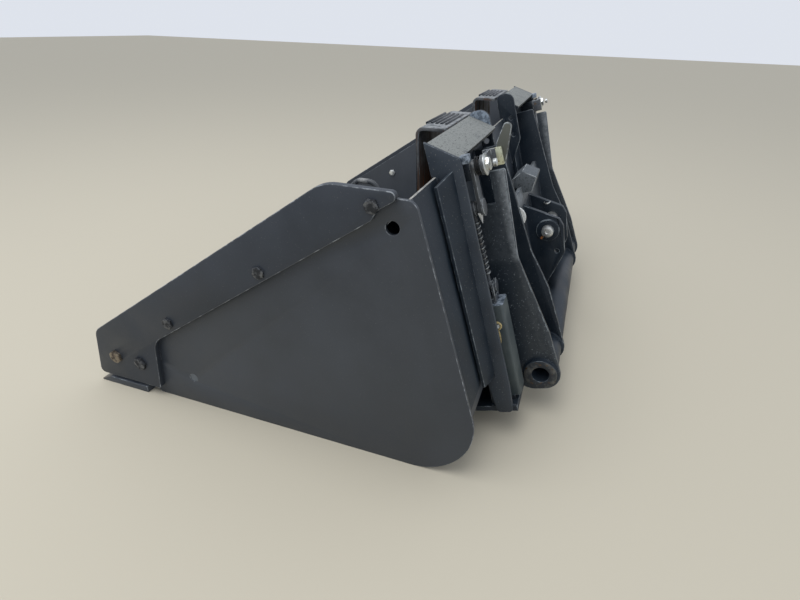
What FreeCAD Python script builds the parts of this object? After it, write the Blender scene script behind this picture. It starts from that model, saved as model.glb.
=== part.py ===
# Bucket of a small skid steer loader, locked on its quick-attach coupler. Millimetres.
# +X is the machine's left, -Y its front, where the cutting edge is, +Z is up, the floor is Z = 0.
import FreeCAD, Part
import math
import os

os.makedirs("parts", exist_ok=True)
V = FreeCAD.Vector

# Bucket
bucket_w = 1118.0        # over the side plates
side_t = 6.5
shell_t = 5.0
lean = 17.8              # degrees that the back wall leans forward
wall_foot = 787.0        # from the tip of the cutting edge to the back wall's line on the floor
wall_len = 481.0         # up the back wall, from the floor to the lip
side_lap = 8.0           # the side plate stands this far out of the back wall
heel_r = 100.0           # the side plate's corner at the heel
side_foot = 138.0        # where the side plate comes down to the floor
lip_corner_r = 18.0
tow_hole_r = 10.0
tow_hole_t = 33.5        # in from the back wall
tow_hole_s = 32.0        # down from the lip
plug_at = (226.0, 58.0)  # shallow round recess in the outer face
plug_r = 8.5
plug_deep = 2.5

# Cutting edge
edge_w = 1144.0
edge_t = 14.0
edge_len = 116.0
edge_tip_t = 3.0
edge_bevel = 24.0
floor_lap = 56.0         # the floor plate lies this far over the cutting edge

# Bolt-on side cutters
cutter_t = 12.0
cutter_nose = (18.0, 121.0)
cutter_slope = 34.7      # degrees
cutter_foot = (1.0, 20.0)
cutter_lap = 12.0        # the cutter stands this far out of the side plate
cutter_nose_r = 30.0
cutter_bend_r = 60.0
cutter_rear = 642.0
cutter_band = 75.0       # width of the slanted band
cutter_heel = 150.0      # rear end of the foot
cutter_tail = 50.0       # the narrow rear end starts this far before the cutter's end
tail_run = 8.0
tail_drop = 12.0
cutter_toe_r = 10.0
cutter_heel_r = 5.0
cutter_inner_r = 40.0
tail_r = 6.0
cutter_end_r = 9.0
cutter_bolt_at = [       # y, z and width across the flats of each bolt
    (56.0, 71.0, 24.0),
    (116.0, 71.0, 24.0),
    (206.0, 181.0, 19.0),
    (408.0, 318.0, 19.0),
    (593.0, 448.0, 19.0),
]
bolt_head_share = 0.42   # height of a head, as a share of its width across the flats
bolt_nut_share = 0.5
bolt_thread_share = 0.33      # and the thread's radius
bolt_thread_end = 1.5

# Wear strips under the floor
strip_count = 3
strip_pitch = 380.0
strip_w = 60.0
strip_start = 150.0
strip_len = 480.0

# Stiffener behind the lip, a triangle with the wall
stiff_t = 6.0
stiff_depth = 78.0       # how far its nose stands out from the wall
stiff_nose = 44.0        # how far its nose is below the lip
stiff_low = 101.0        # how far its lower leg is below the lip
hollow_root = 1.3        # the hollow draws in this many plate thicknesses at the wall
hollow_nose = 1.6        # and this many at the nose

# Mounting brackets on the back wall
plate_t = 8.0
bracket_out = 436.5      # outside of the outer plate
bracket_in = 146.0       # inner face of the inner plate
bracket_depth = 40.0
ridge_rise = 52.0        # from the lip up to the ridge of the cap
cap_slope = 35.2         # degrees down from the wall's normal
bracket_foot = 53.0
foot_t0 = 9.0            # the foot's front edge, out from the wall
foot_bevel = 3.0
foot_bevel_r = 8.0
neck_t = 5.0             # how far out the front edge is above the foot
neck_r = 60.0
edge_corner_r = 3.0
shelf_s = 50.0
shelf_t = 10.0
shelf_w = 76.0
shelf_out = 44.0         # how far the shelf reaches out from the wall
inner_depth = 32.0
inner_low = 115.0        # how far the inner plate reaches below the lip
inner_rise = 55.0
inner_front_r = 14.0
inner_rear_r = 24.0
inner_taper = 60.0       # height of the slanted lower end
inner_taper_r = 20.0
inner_hole_r = 5.0
inner_hole_t = 18.0      # out from the wall
inner_hole_drop = (3.0, 42.0)

# Slanted strip that stiffens the outer plate
gusset_reach = 33.5      # out from the plate's face
gusset_edge_t = 9.0      # out from the wall, at its free edge
gusset_low_t = 20.0      # at the plate, lower end
gusset_top_t = 27.0      # at the plate, upper end
gusset_t = 5.0
gusset_low = 130.0
gusset_rise = 4.0        # its top at the plate is this far above the lip
gusset_fall = 12.0       # and falls this much to the free edge

# Steps in front of the caps
step_in = 119.0
step_out = 317.0
step_t = 6.0
step_depth = 51.0
step_bend_r = 14.0
step_rib_count = 5
step_rib_r = 2.5
step_rib_pitch = 8.5
step_rib_len = 120.0

# Tie loop inside the left side plate
loop_r = 3.5
loop_y = 551.0
loop_len = 37.0
loop_low = 34.0          # its ends are this far below the side plate's top
loop_h = 45.0
loop_off = 16.0

# Coupler faces and webs
face_t = 10.0
face_in = 158.0
face_inset = 11.5        # from the outer plate's outer face
face_low = 64.0
web_t = 8.0
outer_web_inset = 98.5   # from the outer plate's outer face
web_pitch = 100.0
outer_web_drop = 26.0    # below the lip
web_notch_drop = 10.0    # its notch goes this far below the crank pin
outer_web_depth = 80.0   # out from the wall at its top
inner_web_drop = 3.0
inner_web_depth = 60.0
web_top_r = 4.0
outer_waist = (74.0, 234.0)   # out from the wall and above the pivot, where the rear edge turns
inner_waist = (80.0, 207.0)
outer_hip = (28.0, 82.0)      # from the pivot, where the edge comes down to the foot
inner_hip = (24.2, 127.0)
web_sweep_r = 60.0
web_rise = 26.0          # the front edge leaves the face plate this far above its foot
pivot_t = 76.4           # arm pivot, out from the wall
pivot_s = 68.0           # arm pivot, up the wall
pivot_r = 15.9
boss_r = 30.0
boss_proud = 8.0
tube_wall = 8.0
web_foot_r = 36.0
web_foot_lip = 2.0       # the foot's rear corner stands this much further out

# Cross panel, stop block and tilt ears in the middle
panel_t = 8.0
panel_out = 46.0
panel_low = 120.0
panel_top = 350.0
block_w = 76.0
block_depth = 36.0
block_h = 34.0
block_lap = 14.0         # the block's nose hangs this far below the panel's top
block_back = 14.0
block_slope = 18.0
block_tip = 15.0
ear_gap = 83.0
ear_t = 12.0
ear_top = 64.0           # above the pin, where the ear meets the panel
ear_low = 122.0          # below the pin
ear_toe = 24.0
ear_toe_low = 124.0
ear_reach = 28.0         # out from the pin
ear_nose = 34.0
ear_upper = 21.0
ear_nose_rise = 4.0
ear_cheek = 58.0
ear_r = 8.0
ear_cheek_r = 20.0
tilt_t = 89.6
tilt_s = 249.6
tilt_r = 12.7
collar_r = 24.0
collar_t = 4.0
tilt_proud = 9.0
ear_hole_r = 5.0
ear_hole_t = 12.0        # out from the pin
ear_hole_drop = 51.0

# Latch on each side
latch_inset = 49.5       # from the outer plate's outer face
latch_t = 30.0           # out from the wall to the wedge, rod and spring
hub_drop = 5.0           # below the lip
crank = 64.0
link_len = 135.0
pivot_block_half = 12.0
pivot_block_t = 40.0     # its end, out from the wall
pivot_block_low = 18.0   # below the hub's axis
pivot_block_high = 8.0
lever_t = 6.0
hub_r = 11.0
eye_r = 12.0
crank_w = 20.0
sleeve_r = 10.0          # joins the crank to the arm, inside the coil
coil_len = 11.0
coil_r = 14.5
arm_t = 5.0
arm_hub_r = 15.0
bolt_r = 7.0
run_gap = 0.3            # between faces that slide past each other
swing_gap = 5.0          # beside pieces that swing past
pin_gap = 0.05           # radial gap of a pin in its hole
washer_r = 16.5
washer_t = 3.0
nut_af = 19.0
nut_t = 10.0
bolt_end = 5.5
link_pin_r = 6.0
pin_head_r = 14.0
pin_head_t = 3.0
pin_collar = 3.0         # the crank pin's collar is this much larger
link_eye_t = 10.0
rod_r = 3.5
low_eye_r = 9.0
low_pin_r = 4.0
spring_r = 6.5
spring_low = 23.0        # from the lower pin up to the spring
spring_high = 22.0       # from the crank pin down to it
wedge_w = 30.0
wedge_d = 14.0
wedge_low = 30.0
wedge_gap = 0.3
wedge_top_drop = 18.0    # from the lower pin down to the top of the wedge's bar
wedge_taper = 26.0
wedge_corner_r = 3.0
wedge_tip_r = 2.0
tongue_t = 4.0
tongue_gap = 3.0         # between the guide's top and the tongue
tongue_top = 3.0         # bar left above the slot
slot_side = 4.0
slot_down = 10.0
slot_up = 1.0
pin_cap_t = 2.5
guide_w = 44.0
guide_depth = 40.0
guide_low = 70.0
guide_drop = 27.0        # from the lower pin down to the guide's top
guide_corner_r = 5.0

# Lever's handle: a flange across the arm's inner end carries the grip
strap_drop = 15.0        # from the hub's axis down to the arm's lower edge
strap_h = 28.0
strap_start = 22.0       # from the hub's axis
strap_end = 59.0
flange_t = 7.0
flange_start = 49.0      # out from the wall
flange_reach = 80.0      # on the left, where the grip stands on it
bare_flange_reach = 70.0
grip_t = 7.0
grip_start = 66.0        # out from the wall
grip_w = 15.0            # at its lower end
grip_lean = 35.0         # the rear edge leans out this much, to stand plumb
grip_h = 56.0
grip_nose = (25.0, 63.0)      # its highest point, from the lower front corner
grip_knee = (6.0, 34.0)
grip_r = 6.0
grip_knee_r = 15.0

# Worked out from the sizes above
half_w = bucket_w / 2
side_in = half_w - side_t
sin_a = math.sin(math.radians(lean))
cos_a = math.cos(math.radians(lean))
sin_c = math.sin(math.radians(cap_slope))
cos_c = math.cos(math.radians(cap_slope))
tan_cut = math.tan(math.radians(cutter_slope))
cos_cut = math.cos(math.radians(cutter_slope))
cutter_top = wall_len * cos_a + cutter_lap
ridge_s = wall_len + ridge_rise
face_out = bracket_out - face_inset
outer_web = bracket_out - outer_web_inset     # outer faces of the webs
inner_web = outer_web - web_pitch
latch_x = bracket_out - latch_inset
hub_s = wall_len - hub_drop
eye_s = hub_s - crank
low_pin_s = eye_s - link_len
guide_top = low_pin_s - guide_drop
tongue_t0 = latch_t + link_eye_t / 2 + run_gap
lever_t0 = pivot_block_t + run_gap
coil_t0 = lever_t0 + lever_t
arm_t0 = coil_t0 + coil_len
arm_t1 = arm_t0 + arm_t
strap_low = hub_s - strap_drop
strap_x0 = latch_x - strap_start
strap_x1 = latch_x - strap_end
floor_front = edge_len - floor_lap


def wall_point(t, s):
    """Side view point t out of the back wall's rear face and s up along it, as (y, z)."""
    return (wall_foot + t * cos_a - s * sin_a, t * sin_a + s * cos_a)


def wall_y(t, z):
    """Where the line t behind the back wall is at height z."""
    return wall_foot + (t - z * sin_a) / cos_a


def rounded(corners):
    """Closed wire in the X = 0 plane through (y, z, radius) corners."""
    points = [V(0, c[0], c[1]) for c in corners]
    count = len(points)
    ends = []
    for i, corner in enumerate(corners):
        here = points[i]
        back = points[i - 1] - here
        ahead = points[(i + 1) % count] - here
        half = back.getAngle(ahead) / 2
        room = 0.49 * min(back.Length, ahead.Length)
        radius = min(corner[2], room * math.tan(half)) if len(corner) > 2 else 0
        if radius < 0.01:
            ends.append((here, here, here))
            continue
        back.normalize()
        ahead.normalize()
        cut = radius / math.tan(half)
        middle = (back + ahead).normalize()
        crown = here + middle * (radius / math.sin(half) - radius)
        ends.append((here + back * cut, crown, here + ahead * cut))
    edges = []
    for i in range(count):
        start, crown, end = ends[i]
        if (end - start).Length > 0.001:
            edges.append(Part.Arc(start, crown, end).toShape())
        follow = ends[(i + 1) % count][0]
        if (follow - end).Length > 0.001:
            edges.append(Part.LineSegment(end, follow).toShape())
    return Part.Wire(edges)


def plate(corners, x0, x1):
    """Plate with a side view outline of (y, z, radius) corners, between two X planes."""
    low, high = min(x0, x1), max(x0, x1)
    solid = Part.Face(rounded(corners)).extrude(V(high - low, 0, 0))
    solid.translate(V(low, 0, 0))
    return solid


def wall_plate(corners, x0, x1):
    """Plate whose outline is given as (t, s, radius) on the back wall."""
    return plate([wall_point(c[0], c[1]) + tuple(c[2:]) for c in corners], x0, x1)


def cross_rod(t, s, radius, x0, x1):
    """Round bar along X."""
    y, z = wall_point(t, s)
    return Part.makeCylinder(radius, abs(x1 - x0), V(min(x0, x1), y, z), V(1, 0, 0))


def out_rod(x, s, radius, t0, t1):
    """Round bar that stands straight out of the back wall."""
    y, z = wall_point(t0, s)
    return Part.makeCylinder(radius, t1 - t0, V(x, y, z), V(0, cos_a, sin_a))


def up_rod(x, t, radius, s0, s1):
    """Round bar that runs up along the back wall."""
    y, z = wall_point(t, s0)
    return Part.makeCylinder(radius, s1 - s0, V(x, y, z), V(0, -sin_a, cos_a))


def wall_block(x0, x1, t0, t1, s0, s1):
    """Block square to the back wall."""
    return wall_plate([(t0, s0), (t1, s0), (t1, s1), (t0, s1)], x0, x1)


def face_slice(x, half, t0, t1, s0, s1):
    """Upright bar square to the wall, centred at x."""
    return wall_block(x - half, x + half, t0, t1, s0, s1)


def face_outline(points, t0, t1):
    """Plate parallel to the back wall with an outline of (x, s) points."""
    ring = []
    for x, s in points:
        y, z = wall_point(t0, s)
        ring.append(V(x, y, z))
    face = Part.Face(Part.makePolygon(ring + ring[:1]))
    return face.extrude(V(0, cos_a, sin_a) * (t1 - t0))


def cross_hexagon(y, z, flats, x0, x1):
    """Hexagonal nut or head whose axis lies along X."""
    reach = flats / math.sqrt(3)
    ring = []
    for i in range(6):
        turn = math.radians(60 * i)
        ring.append(V(x0, y + reach * math.cos(turn), z + reach * math.sin(turn)))
    face = Part.Face(Part.makePolygon(ring + ring[:1]))
    return face.extrude(V(x1 - x0, 0, 0))


def hexagon(x, s, flats, t0, t1):
    """Hexagonal nut or head that stands out of the back wall."""
    reach = flats / math.sqrt(3)
    points = []
    for i in range(6):
        turn = math.radians(60 * i)
        points.append((x + reach * math.cos(turn), s + reach * math.sin(turn)))
    return face_outline(points, t0, t1)


def slant_z(y, drop):
    """Height of the cutter's slanted edge, or of a line that far square below it."""
    return cutter_nose[1] + (y - cutter_nose[0]) * tan_cut - drop / cos_cut


def slant_y(z, drop):
    """Where the cutter's slanted edge, or a line below it, reaches height z."""
    return cutter_nose[0] + (z - cutter_nose[1] + drop / cos_cut) / tan_cut


def bucket_outside():
    """Solid that fills the bucket to the outside of its floor and back wall."""
    corners = [
        (floor_front, edge_t),
        (wall_y(0, edge_t), edge_t, heel_r - side_lap),
        wall_point(0, wall_len),
        (floor_front, wall_len * cos_a),
    ]
    return plate(corners, -side_in, side_in)


def bucket_shell():
    """Floor plate, heel and back wall, bent from one plate."""
    top_in = wall_point(-shell_t, wall_len)
    corners = [
        (floor_front, edge_t),
        (wall_y(0, edge_t), edge_t, heel_r - side_lap),
        wall_point(0, wall_len),
        top_in,
        (wall_y(-shell_t, edge_t + shell_t), edge_t + shell_t, heel_r - side_lap - shell_t),
        (floor_front, edge_t + shell_t),
    ]
    return plate(corners, -side_in, side_in)


def cutting_edge():
    """Flat bar across the front with a bevel on its upper side."""
    corners = [(0, 0), (edge_len, 0), (edge_len, edge_t), (edge_bevel, edge_t), (0, edge_tip_t)]
    return plate(corners, -edge_w / 2, edge_w / 2)


def side_plate(side):
    """Side plate: it stands on the cutting edge in front and on the floor behind it."""
    top = cutter_top - cutter_lap
    front = cutter_foot[0] + cutter_lap
    nose = cutter_nose[0] + cutter_lap
    corners = [
        (side_foot, 0),
        (wall_y(side_lap, 0), 0, heel_r),
        (wall_y(side_lap, top), top, lip_corner_r),
        (slant_y(top, cutter_lap), top, cutter_bend_r),
        (nose, slant_z(nose, cutter_lap), cutter_nose_r),
        (front + cutter_lap / 2, edge_t),
        (edge_len + edge_t / 2, edge_t),
    ]
    body = plate(corners, side * side_in, side * half_w)
    hole = cross_rod(-tow_hole_t, wall_len - tow_hole_s, tow_hole_r, side * side_in, side * half_w)
    place = V(side * half_w, plug_at[0], plug_at[1])
    plug = Part.makeCylinder(plug_r, plug_deep, place, V(-side, 0, 0))
    return body.cut([hole, plug])


def side_cutter(side):
    """Bolt-on plate along the side plate's front and top edge."""
    low_front = cutter_heel + cutter_lap
    low_end = cutter_rear - cutter_tail
    corners = [
        (cutter_foot[0], cutter_foot[1], cutter_toe_r),
        (cutter_heel, cutter_foot[1], cutter_heel_r),
        (low_front, slant_z(low_front, cutter_band), cutter_inner_r),
        (low_end, slant_z(low_end, cutter_band), tail_r),
        (low_end + tail_run, slant_z(low_end, cutter_band - tail_drop), tail_r),
        (cutter_rear, cutter_top, cutter_end_r),
        (slant_y(cutter_top, 0), cutter_top, cutter_bend_r),
        (cutter_nose[0], cutter_nose[1], cutter_nose_r),
    ]
    return plate(corners, side * half_w, side * (half_w + cutter_t))


def cutter_bolts(side):
    """Bolt heads on the side cutter and their nuts inside the side plate."""
    outside, inside = half_w + cutter_t, side_in
    pieces = []
    for y, z, flats in cutter_bolt_at:
        head_end = outside + bolt_head_share * flats
        nut_end = inside - bolt_nut_share * flats
        nut = cross_hexagon(y, z, flats, side * inside, side * nut_end)
        tip = Part.makeCylinder(bolt_thread_share * flats, bolt_thread_end,
                                V(side * nut_end, y, z), V(-side, 0, 0))
        pieces.append(cross_hexagon(y, z, flats, side * outside, side * head_end))
        pieces.append(nut.fuse(tip))
    return Part.makeCompound(pieces)


def wear_strips():
    """Flat strips under the floor plate, level with the cutting edge."""
    strips = []
    for i in range(strip_count):
        x = (i - (strip_count - 1) / 2) * strip_pitch
        strips.append(Part.makeBox(strip_w, strip_len, edge_t, V(x - strip_w / 2, strip_start, 0)))
    return Part.makeCompound(strips)


def stiffener_outline(thick):
    """Triangle between the wall's inner face and the nose, smaller by thick."""
    return [
        (-shell_t, wall_len - hollow_root * thick),
        (-shell_t - stiff_depth + hollow_nose * thick, wall_len - stiff_nose),
        (-shell_t, wall_len - stiff_low + hollow_root * thick),
    ]


def top_stiffener():
    """Bent plate that makes a closed triangle with the wall behind the lip."""
    outside = wall_plate(stiffener_outline(0), -side_in, side_in)
    return outside.cut(wall_plate(stiffener_outline(stiff_t), -side_in, side_in))


def step(side):
    """Bent plate with grip ribs, from the cap forward and down to the stiffener's nose."""
    ridge_z = wall_point(-plate_t, ridge_s)[1]
    rear = wall_y(-plate_t, ridge_z)
    under = wall_y(-plate_t, ridge_z - step_t)
    front = rear - step_depth
    nose_y, nose_z = wall_point(-shell_t - stiff_depth, wall_len - stiff_nose)
    foot = nose_y + step_t
    corners = [
        (rear, ridge_z),
        (front, ridge_z, step_bend_r),
        (foot - step_t, nose_z - step_t),
        (foot, nose_z - step_t),
        (front + step_t, ridge_z - step_t, step_bend_r - step_t),
        (under, ridge_z - step_t),
    ]
    body = plate(corners, side * step_in, side * step_out)
    middle = side * (step_in + step_out) / 2
    rib_y = front + (step_depth - (step_rib_count - 1) * step_rib_pitch) / 2
    for i in range(step_rib_count):
        place = V(middle - step_rib_len / 2, rib_y + i * step_rib_pitch, ridge_z)
        body = body.fuse(Part.makeCylinder(step_rib_r, step_rib_len, place, V(1, 0, 0)))
    keep_off = wall_plate(stiffener_outline(0), -side_in, side_in)
    return body.removeSplitter().cut(keep_off)


def tie_loop():
    """Small bent bar welded inside the left side plate."""
    x = side_in - loop_off
    z0 = cutter_top - cutter_lap - loop_low
    z1 = z0 + loop_h
    bend = 4 * loop_r
    y0, y1 = loop_y, loop_y + loop_len
    arc = bend * (1 - math.sqrt(0.5))
    path = Part.Wire([
        Part.LineSegment(V(side_in, y0, z0), V(x + bend, y0, z0)).toShape(),
        Part.Arc(V(x + bend, y0, z0), V(x + arc, y0, z0 + arc), V(x, y0, z0 + bend)).toShape(),
        Part.LineSegment(V(x, y0, z0 + bend), V(x, y0, z1 - bend)).toShape(),
        Part.Arc(V(x, y0, z1 - bend), V(x, y0 + arc, z1 - arc), V(x, y0 + bend, z1)).toShape(),
        Part.LineSegment(V(x, y0 + bend, z1), V(x, y1 - bend, z1)).toShape(),
        Part.Arc(V(x, y1 - bend, z1), V(x, y1 - arc, z1 - arc), V(x, y1, z1 - bend)).toShape(),
        Part.LineSegment(V(x, y1, z1 - bend), V(x, y1, z0 + bend)).toShape(),
        Part.Arc(V(x, y1, z0 + bend), V(x + arc, y1, z0 + arc), V(x + bend, y1, z0)).toShape(),
        Part.LineSegment(V(x + bend, y1, z0), V(side_in, y1, z0)).toShape(),
    ])
    ring = Part.Wire(Part.makeCircle(loop_r, V(side_in, y0, z0), V(-1, 0, 0)))
    return path.makePipeShell([ring], True, False)


def cap_s(t):
    """Height of the cap's upper face, up the wall, at distance t out of it."""
    return ridge_s - (t + plate_t) * sin_c / cos_c


def bracket_outer(side):
    """Outer plate of the bracket, with a narrow foot behind the heel."""
    corners = [
        (-plate_t, ridge_s),
        (bracket_depth, cap_s(bracket_depth), edge_corner_r),
        (bracket_depth, 2 * bracket_foot),
        (bracket_depth - foot_bevel, bracket_foot, foot_bevel_r),
        (foot_t0, bracket_foot, foot_bevel_r),
        (neck_t, 2 * bracket_foot, neck_r),
        (0, heel_r + bracket_foot),
        (0, wall_len),
        (-plate_t, wall_len),
    ]
    return wall_plate(corners, side * (bracket_out - plate_t), side * bracket_out)


def bracket_inner(side):
    """Short inner plate whose rounded top stands over the cap."""
    low = wall_len - inner_low
    corners = [
        (-plate_t, wall_len + inner_rise, inner_front_r),
        (inner_depth, wall_len + inner_rise, inner_rear_r),
        (inner_depth, low + inner_taper, inner_taper_r),
        (0, low),
        (0, wall_len),
        (-plate_t, wall_len),
    ]
    body = wall_plate(corners, side * bracket_in, side * (bracket_in + plate_t))
    for drop in inner_hole_drop:
        body = body.cut(cross_rod(inner_hole_t, wall_len - drop, inner_hole_r,
                                  side * bracket_in, side * (bracket_in + plate_t)))
    return body


def bracket_cap(side):
    """Angled lip between the plates, that the coupler's upper edge wedges under."""
    rear = bracket_depth
    corners = [
        (-plate_t, wall_len),
        (-plate_t, ridge_s, edge_corner_r),
        (rear, cap_s(rear)),
        (rear - plate_t * sin_c, cap_s(rear) - plate_t * cos_c),
        (0, cap_s(0) - plate_t / cos_c),
        (0, wall_len),
    ]
    return wall_plate(corners, side * (bracket_in + plate_t), side * (bracket_out - plate_t))


def gusset_ring(side, plate_out, plate_s, edge_s):
    """Cross-section of the slanted strip, from the outer plate's face to its free edge."""
    x0, x1 = bracket_out, bracket_out + gusset_reach
    ring = []
    for x, t, s in [(x0, plate_out, plate_s), (x1, gusset_edge_t, edge_s),
                    (x1, gusset_edge_t - gusset_t, edge_s), (x0, plate_out - gusset_t, plate_s)]:
        y, z = wall_point(t, s)
        ring.append(V(side * x, y, z))
    return Part.makePolygon(ring + ring[:1])


def bracket_gusset(side):
    """Slanted strip along the outer plate, its upper end falling off to the free edge."""
    top = wall_len + gusset_rise
    low_ring = gusset_ring(side, gusset_low_t, gusset_low, gusset_low)
    top_ring = gusset_ring(side, gusset_top_t, top, top - gusset_fall)
    return Part.makeLoft([low_ring, top_ring], True, True)


def bracket_shelf(side):
    """Shelf from the heel to the outer plate's foot, with the slot that the wedge locks in."""
    x1 = bracket_out - plate_t
    x0 = min(x1 - shelf_w, latch_x - wedge_w)
    body = wall_block(side * x0, side * x1, -2 * shelf_out, shelf_out,
                      shelf_s, shelf_s + shelf_t)
    slot = wall_block(side * (latch_x - wedge_w / 2 - 2 * wedge_gap),
                      side * (latch_x + wedge_w / 2 + 2 * wedge_gap),
                      latch_t - wedge_d / 2 - 2 * wedge_gap, latch_t + wedge_d / 2 + 2 * wedge_gap,
                      shelf_s, shelf_s + shelf_t)
    return body.cut(slot).cut(bucket_outside())


def coupler_face(side):
    """Face plate that lies on the back wall under the cap."""
    corners = [
        (0, face_low),
        (face_t, face_low),
        (face_t, cap_s(face_t) - plate_t / cos_c),
        (0, cap_s(0) - plate_t / cos_c),
    ]
    return wall_plate(corners, side * face_in, side * face_out)


def web_rear(waist, hip):
    """Corners down a web's rear edge, round the pivot and up to the face plate."""
    low = pivot_s - web_foot_r
    return [
        (waist[0], pivot_s + waist[1], web_sweep_r),
        (pivot_t + hip[0], pivot_s + hip[1], web_sweep_r),
        (pivot_t + web_foot_r + web_foot_lip, low, web_foot_r),
        (pivot_t - web_foot_r, low, web_foot_r),
        (face_t, face_low + web_rise),
    ]


def outer_web_plate(side):
    """Outer web, open at the top for the lever's crank and the link."""
    notch_out = coil_t0 + pin_head_t + swing_gap
    notch_floor = eye_s - web_notch_drop
    top = wall_len - outer_web_drop
    corners = [
        (face_t, notch_floor),
        (notch_out, notch_floor),
        (notch_out, top),
        (outer_web_depth, top, web_top_r),
    ]
    corners += web_rear(outer_waist, outer_hip)
    body = wall_plate(corners, side * (outer_web - web_t), side * outer_web)
    return body.cut(cross_rod(pivot_t, pivot_s, boss_r, side * inner_web, side * half_w))


def inner_web_plate(side):
    """Inner web of the coupler, narrower at its top."""
    top = wall_len - inner_web_drop
    corners = [(face_t, top), (inner_web_depth, top, web_top_r)]
    corners += web_rear(inner_waist, inner_hip)
    body = wall_plate(corners, side * (inner_web - web_t), side * inner_web)
    return body.cut(cross_rod(pivot_t, pivot_s, boss_r, 0, side * half_w))


def pivot_boss(side):
    """Tube through both webs that the loader arm's pin goes in."""
    x0 = side * (inner_web - web_t)
    x1 = side * (outer_web + boss_proud)
    return cross_rod(pivot_t, pivot_s, boss_r, x0, x1).cut(
        cross_rod(pivot_t, pivot_s, pivot_r, x0, x1))


def cross_tube():
    """Tube that joins the two pivot bosses."""
    x = inner_web - web_t
    return cross_rod(pivot_t, pivot_s, boss_r, -x, x).cut(
        cross_rod(pivot_t, pivot_s, boss_r - tube_wall, -x, x))


def cross_panel():
    """Plate between the inner webs that carries the tilt ears."""
    x = inner_web - web_t
    return wall_block(-x, x, panel_out - panel_t, panel_out, panel_low, panel_top)


def stop_block():
    """Tilted block on the panel that the arms' stop meets."""
    low, top = panel_top - block_lap, panel_top + block_h
    corners = [
        (panel_out - panel_t, panel_top),
        (panel_out - 2 * panel_t, panel_top),
        (panel_out - 2 * panel_t, top - block_back),
        (panel_out + panel_t, top),
        (panel_out + block_depth, top - block_slope, edge_corner_r),
        (panel_out + block_depth - block_tip, low, edge_corner_r),
        (panel_out, low),
        (panel_out, panel_top),
    ]
    return wall_plate(corners, -block_w / 2, block_w / 2)


def tilt_ears():
    """Two ears with collars for the tilt cylinder's pin."""
    ears = []
    corners = [
        (panel_out, tilt_s - ear_low),
        (panel_out, tilt_s + ear_top),
        (tilt_t + ear_reach, tilt_s + ear_upper, ear_r),
        (tilt_t + ear_nose, tilt_s + ear_nose_rise, ear_r),
        (tilt_t + ear_reach, tilt_s - ear_cheek, ear_cheek_r),
        (panel_out + ear_toe, tilt_s - ear_toe_low),
    ]
    for side in (1, -1):
        x0 = side * ear_gap / 2
        x1 = side * (ear_gap / 2 + ear_t)
        x2 = side * (ear_gap / 2 + ear_t + collar_t)
        body = wall_plate(corners, x0, x1).fuse(cross_rod(tilt_t, tilt_s, collar_r, x1, x2))
        body = body.cut(cross_rod(tilt_t, tilt_s, tilt_r, x0, x2))
        body = body.cut(cross_rod(tilt_t + ear_hole_t, tilt_s - ear_hole_drop, ear_hole_r, x0, x1))
        ears.append(body)
    return Part.makeCompound(ears)


def tilt_pin():
    """Pin through the ears, its ends a little proud of the collars."""
    x = ear_gap / 2 + ear_t + collar_t + tilt_proud
    return cross_rod(tilt_t, tilt_s, tilt_r, -x, x)


def is_guide_corner(edge):
    """True for the guide's two long outer edges."""
    middle = edge.BoundBox.Center
    out = (middle.y - wall_foot) * cos_a + middle.z * sin_a
    long_edge = edge.Length > 0.9 * (guide_top - guide_low)
    return long_edge and out > face_t + 0.9 * guide_depth


def wedge_guide(side):
    """Housing on the face plate that the wedge slides in."""
    x = side * latch_x
    bar = face_slice(x, guide_w / 2, face_t, face_t + guide_depth, guide_low, guide_top)
    hole = face_slice(x, wedge_w / 2 + wedge_gap, latch_t - wedge_d / 2 - wedge_gap,
                      latch_t + wedge_d / 2 + wedge_gap, guide_low, guide_top)
    rear = [e for e in bar.Edges if is_guide_corner(e)]
    return bar.makeFillet(guide_corner_r, rear).cut(hole)


def pivot_bolt(side):
    """Lever's pivot: block on the face plate, bolt, flange washer and nut."""
    x = side * latch_x
    washer_at = arm_t1 + run_gap
    nut_at = washer_at + washer_t
    body = face_slice(x, pivot_block_half, face_t, pivot_block_t,
                      hub_s - pivot_block_low, hub_s + pivot_block_high)
    body = body.fuse(out_rod(x, hub_s, bolt_r, face_t, nut_at + nut_t + bolt_end))
    body = body.fuse(out_rod(x, hub_s, washer_r, washer_at, nut_at))
    body = body.fuse(hexagon(x, hub_s, nut_af, nut_at, nut_at + nut_t))
    return body.removeSplitter()


def pivot_coil(side):
    """Outside of the spring round the lever's sleeve, as a plain sleeve."""
    x = side * latch_x
    t0, t1 = coil_t0 + run_gap, arm_t0 - run_gap
    return out_rod(x, hub_s, coil_r, t0, t1).cut(out_rod(x, hub_s, sleeve_r + run_gap, t0, t1))


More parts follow.
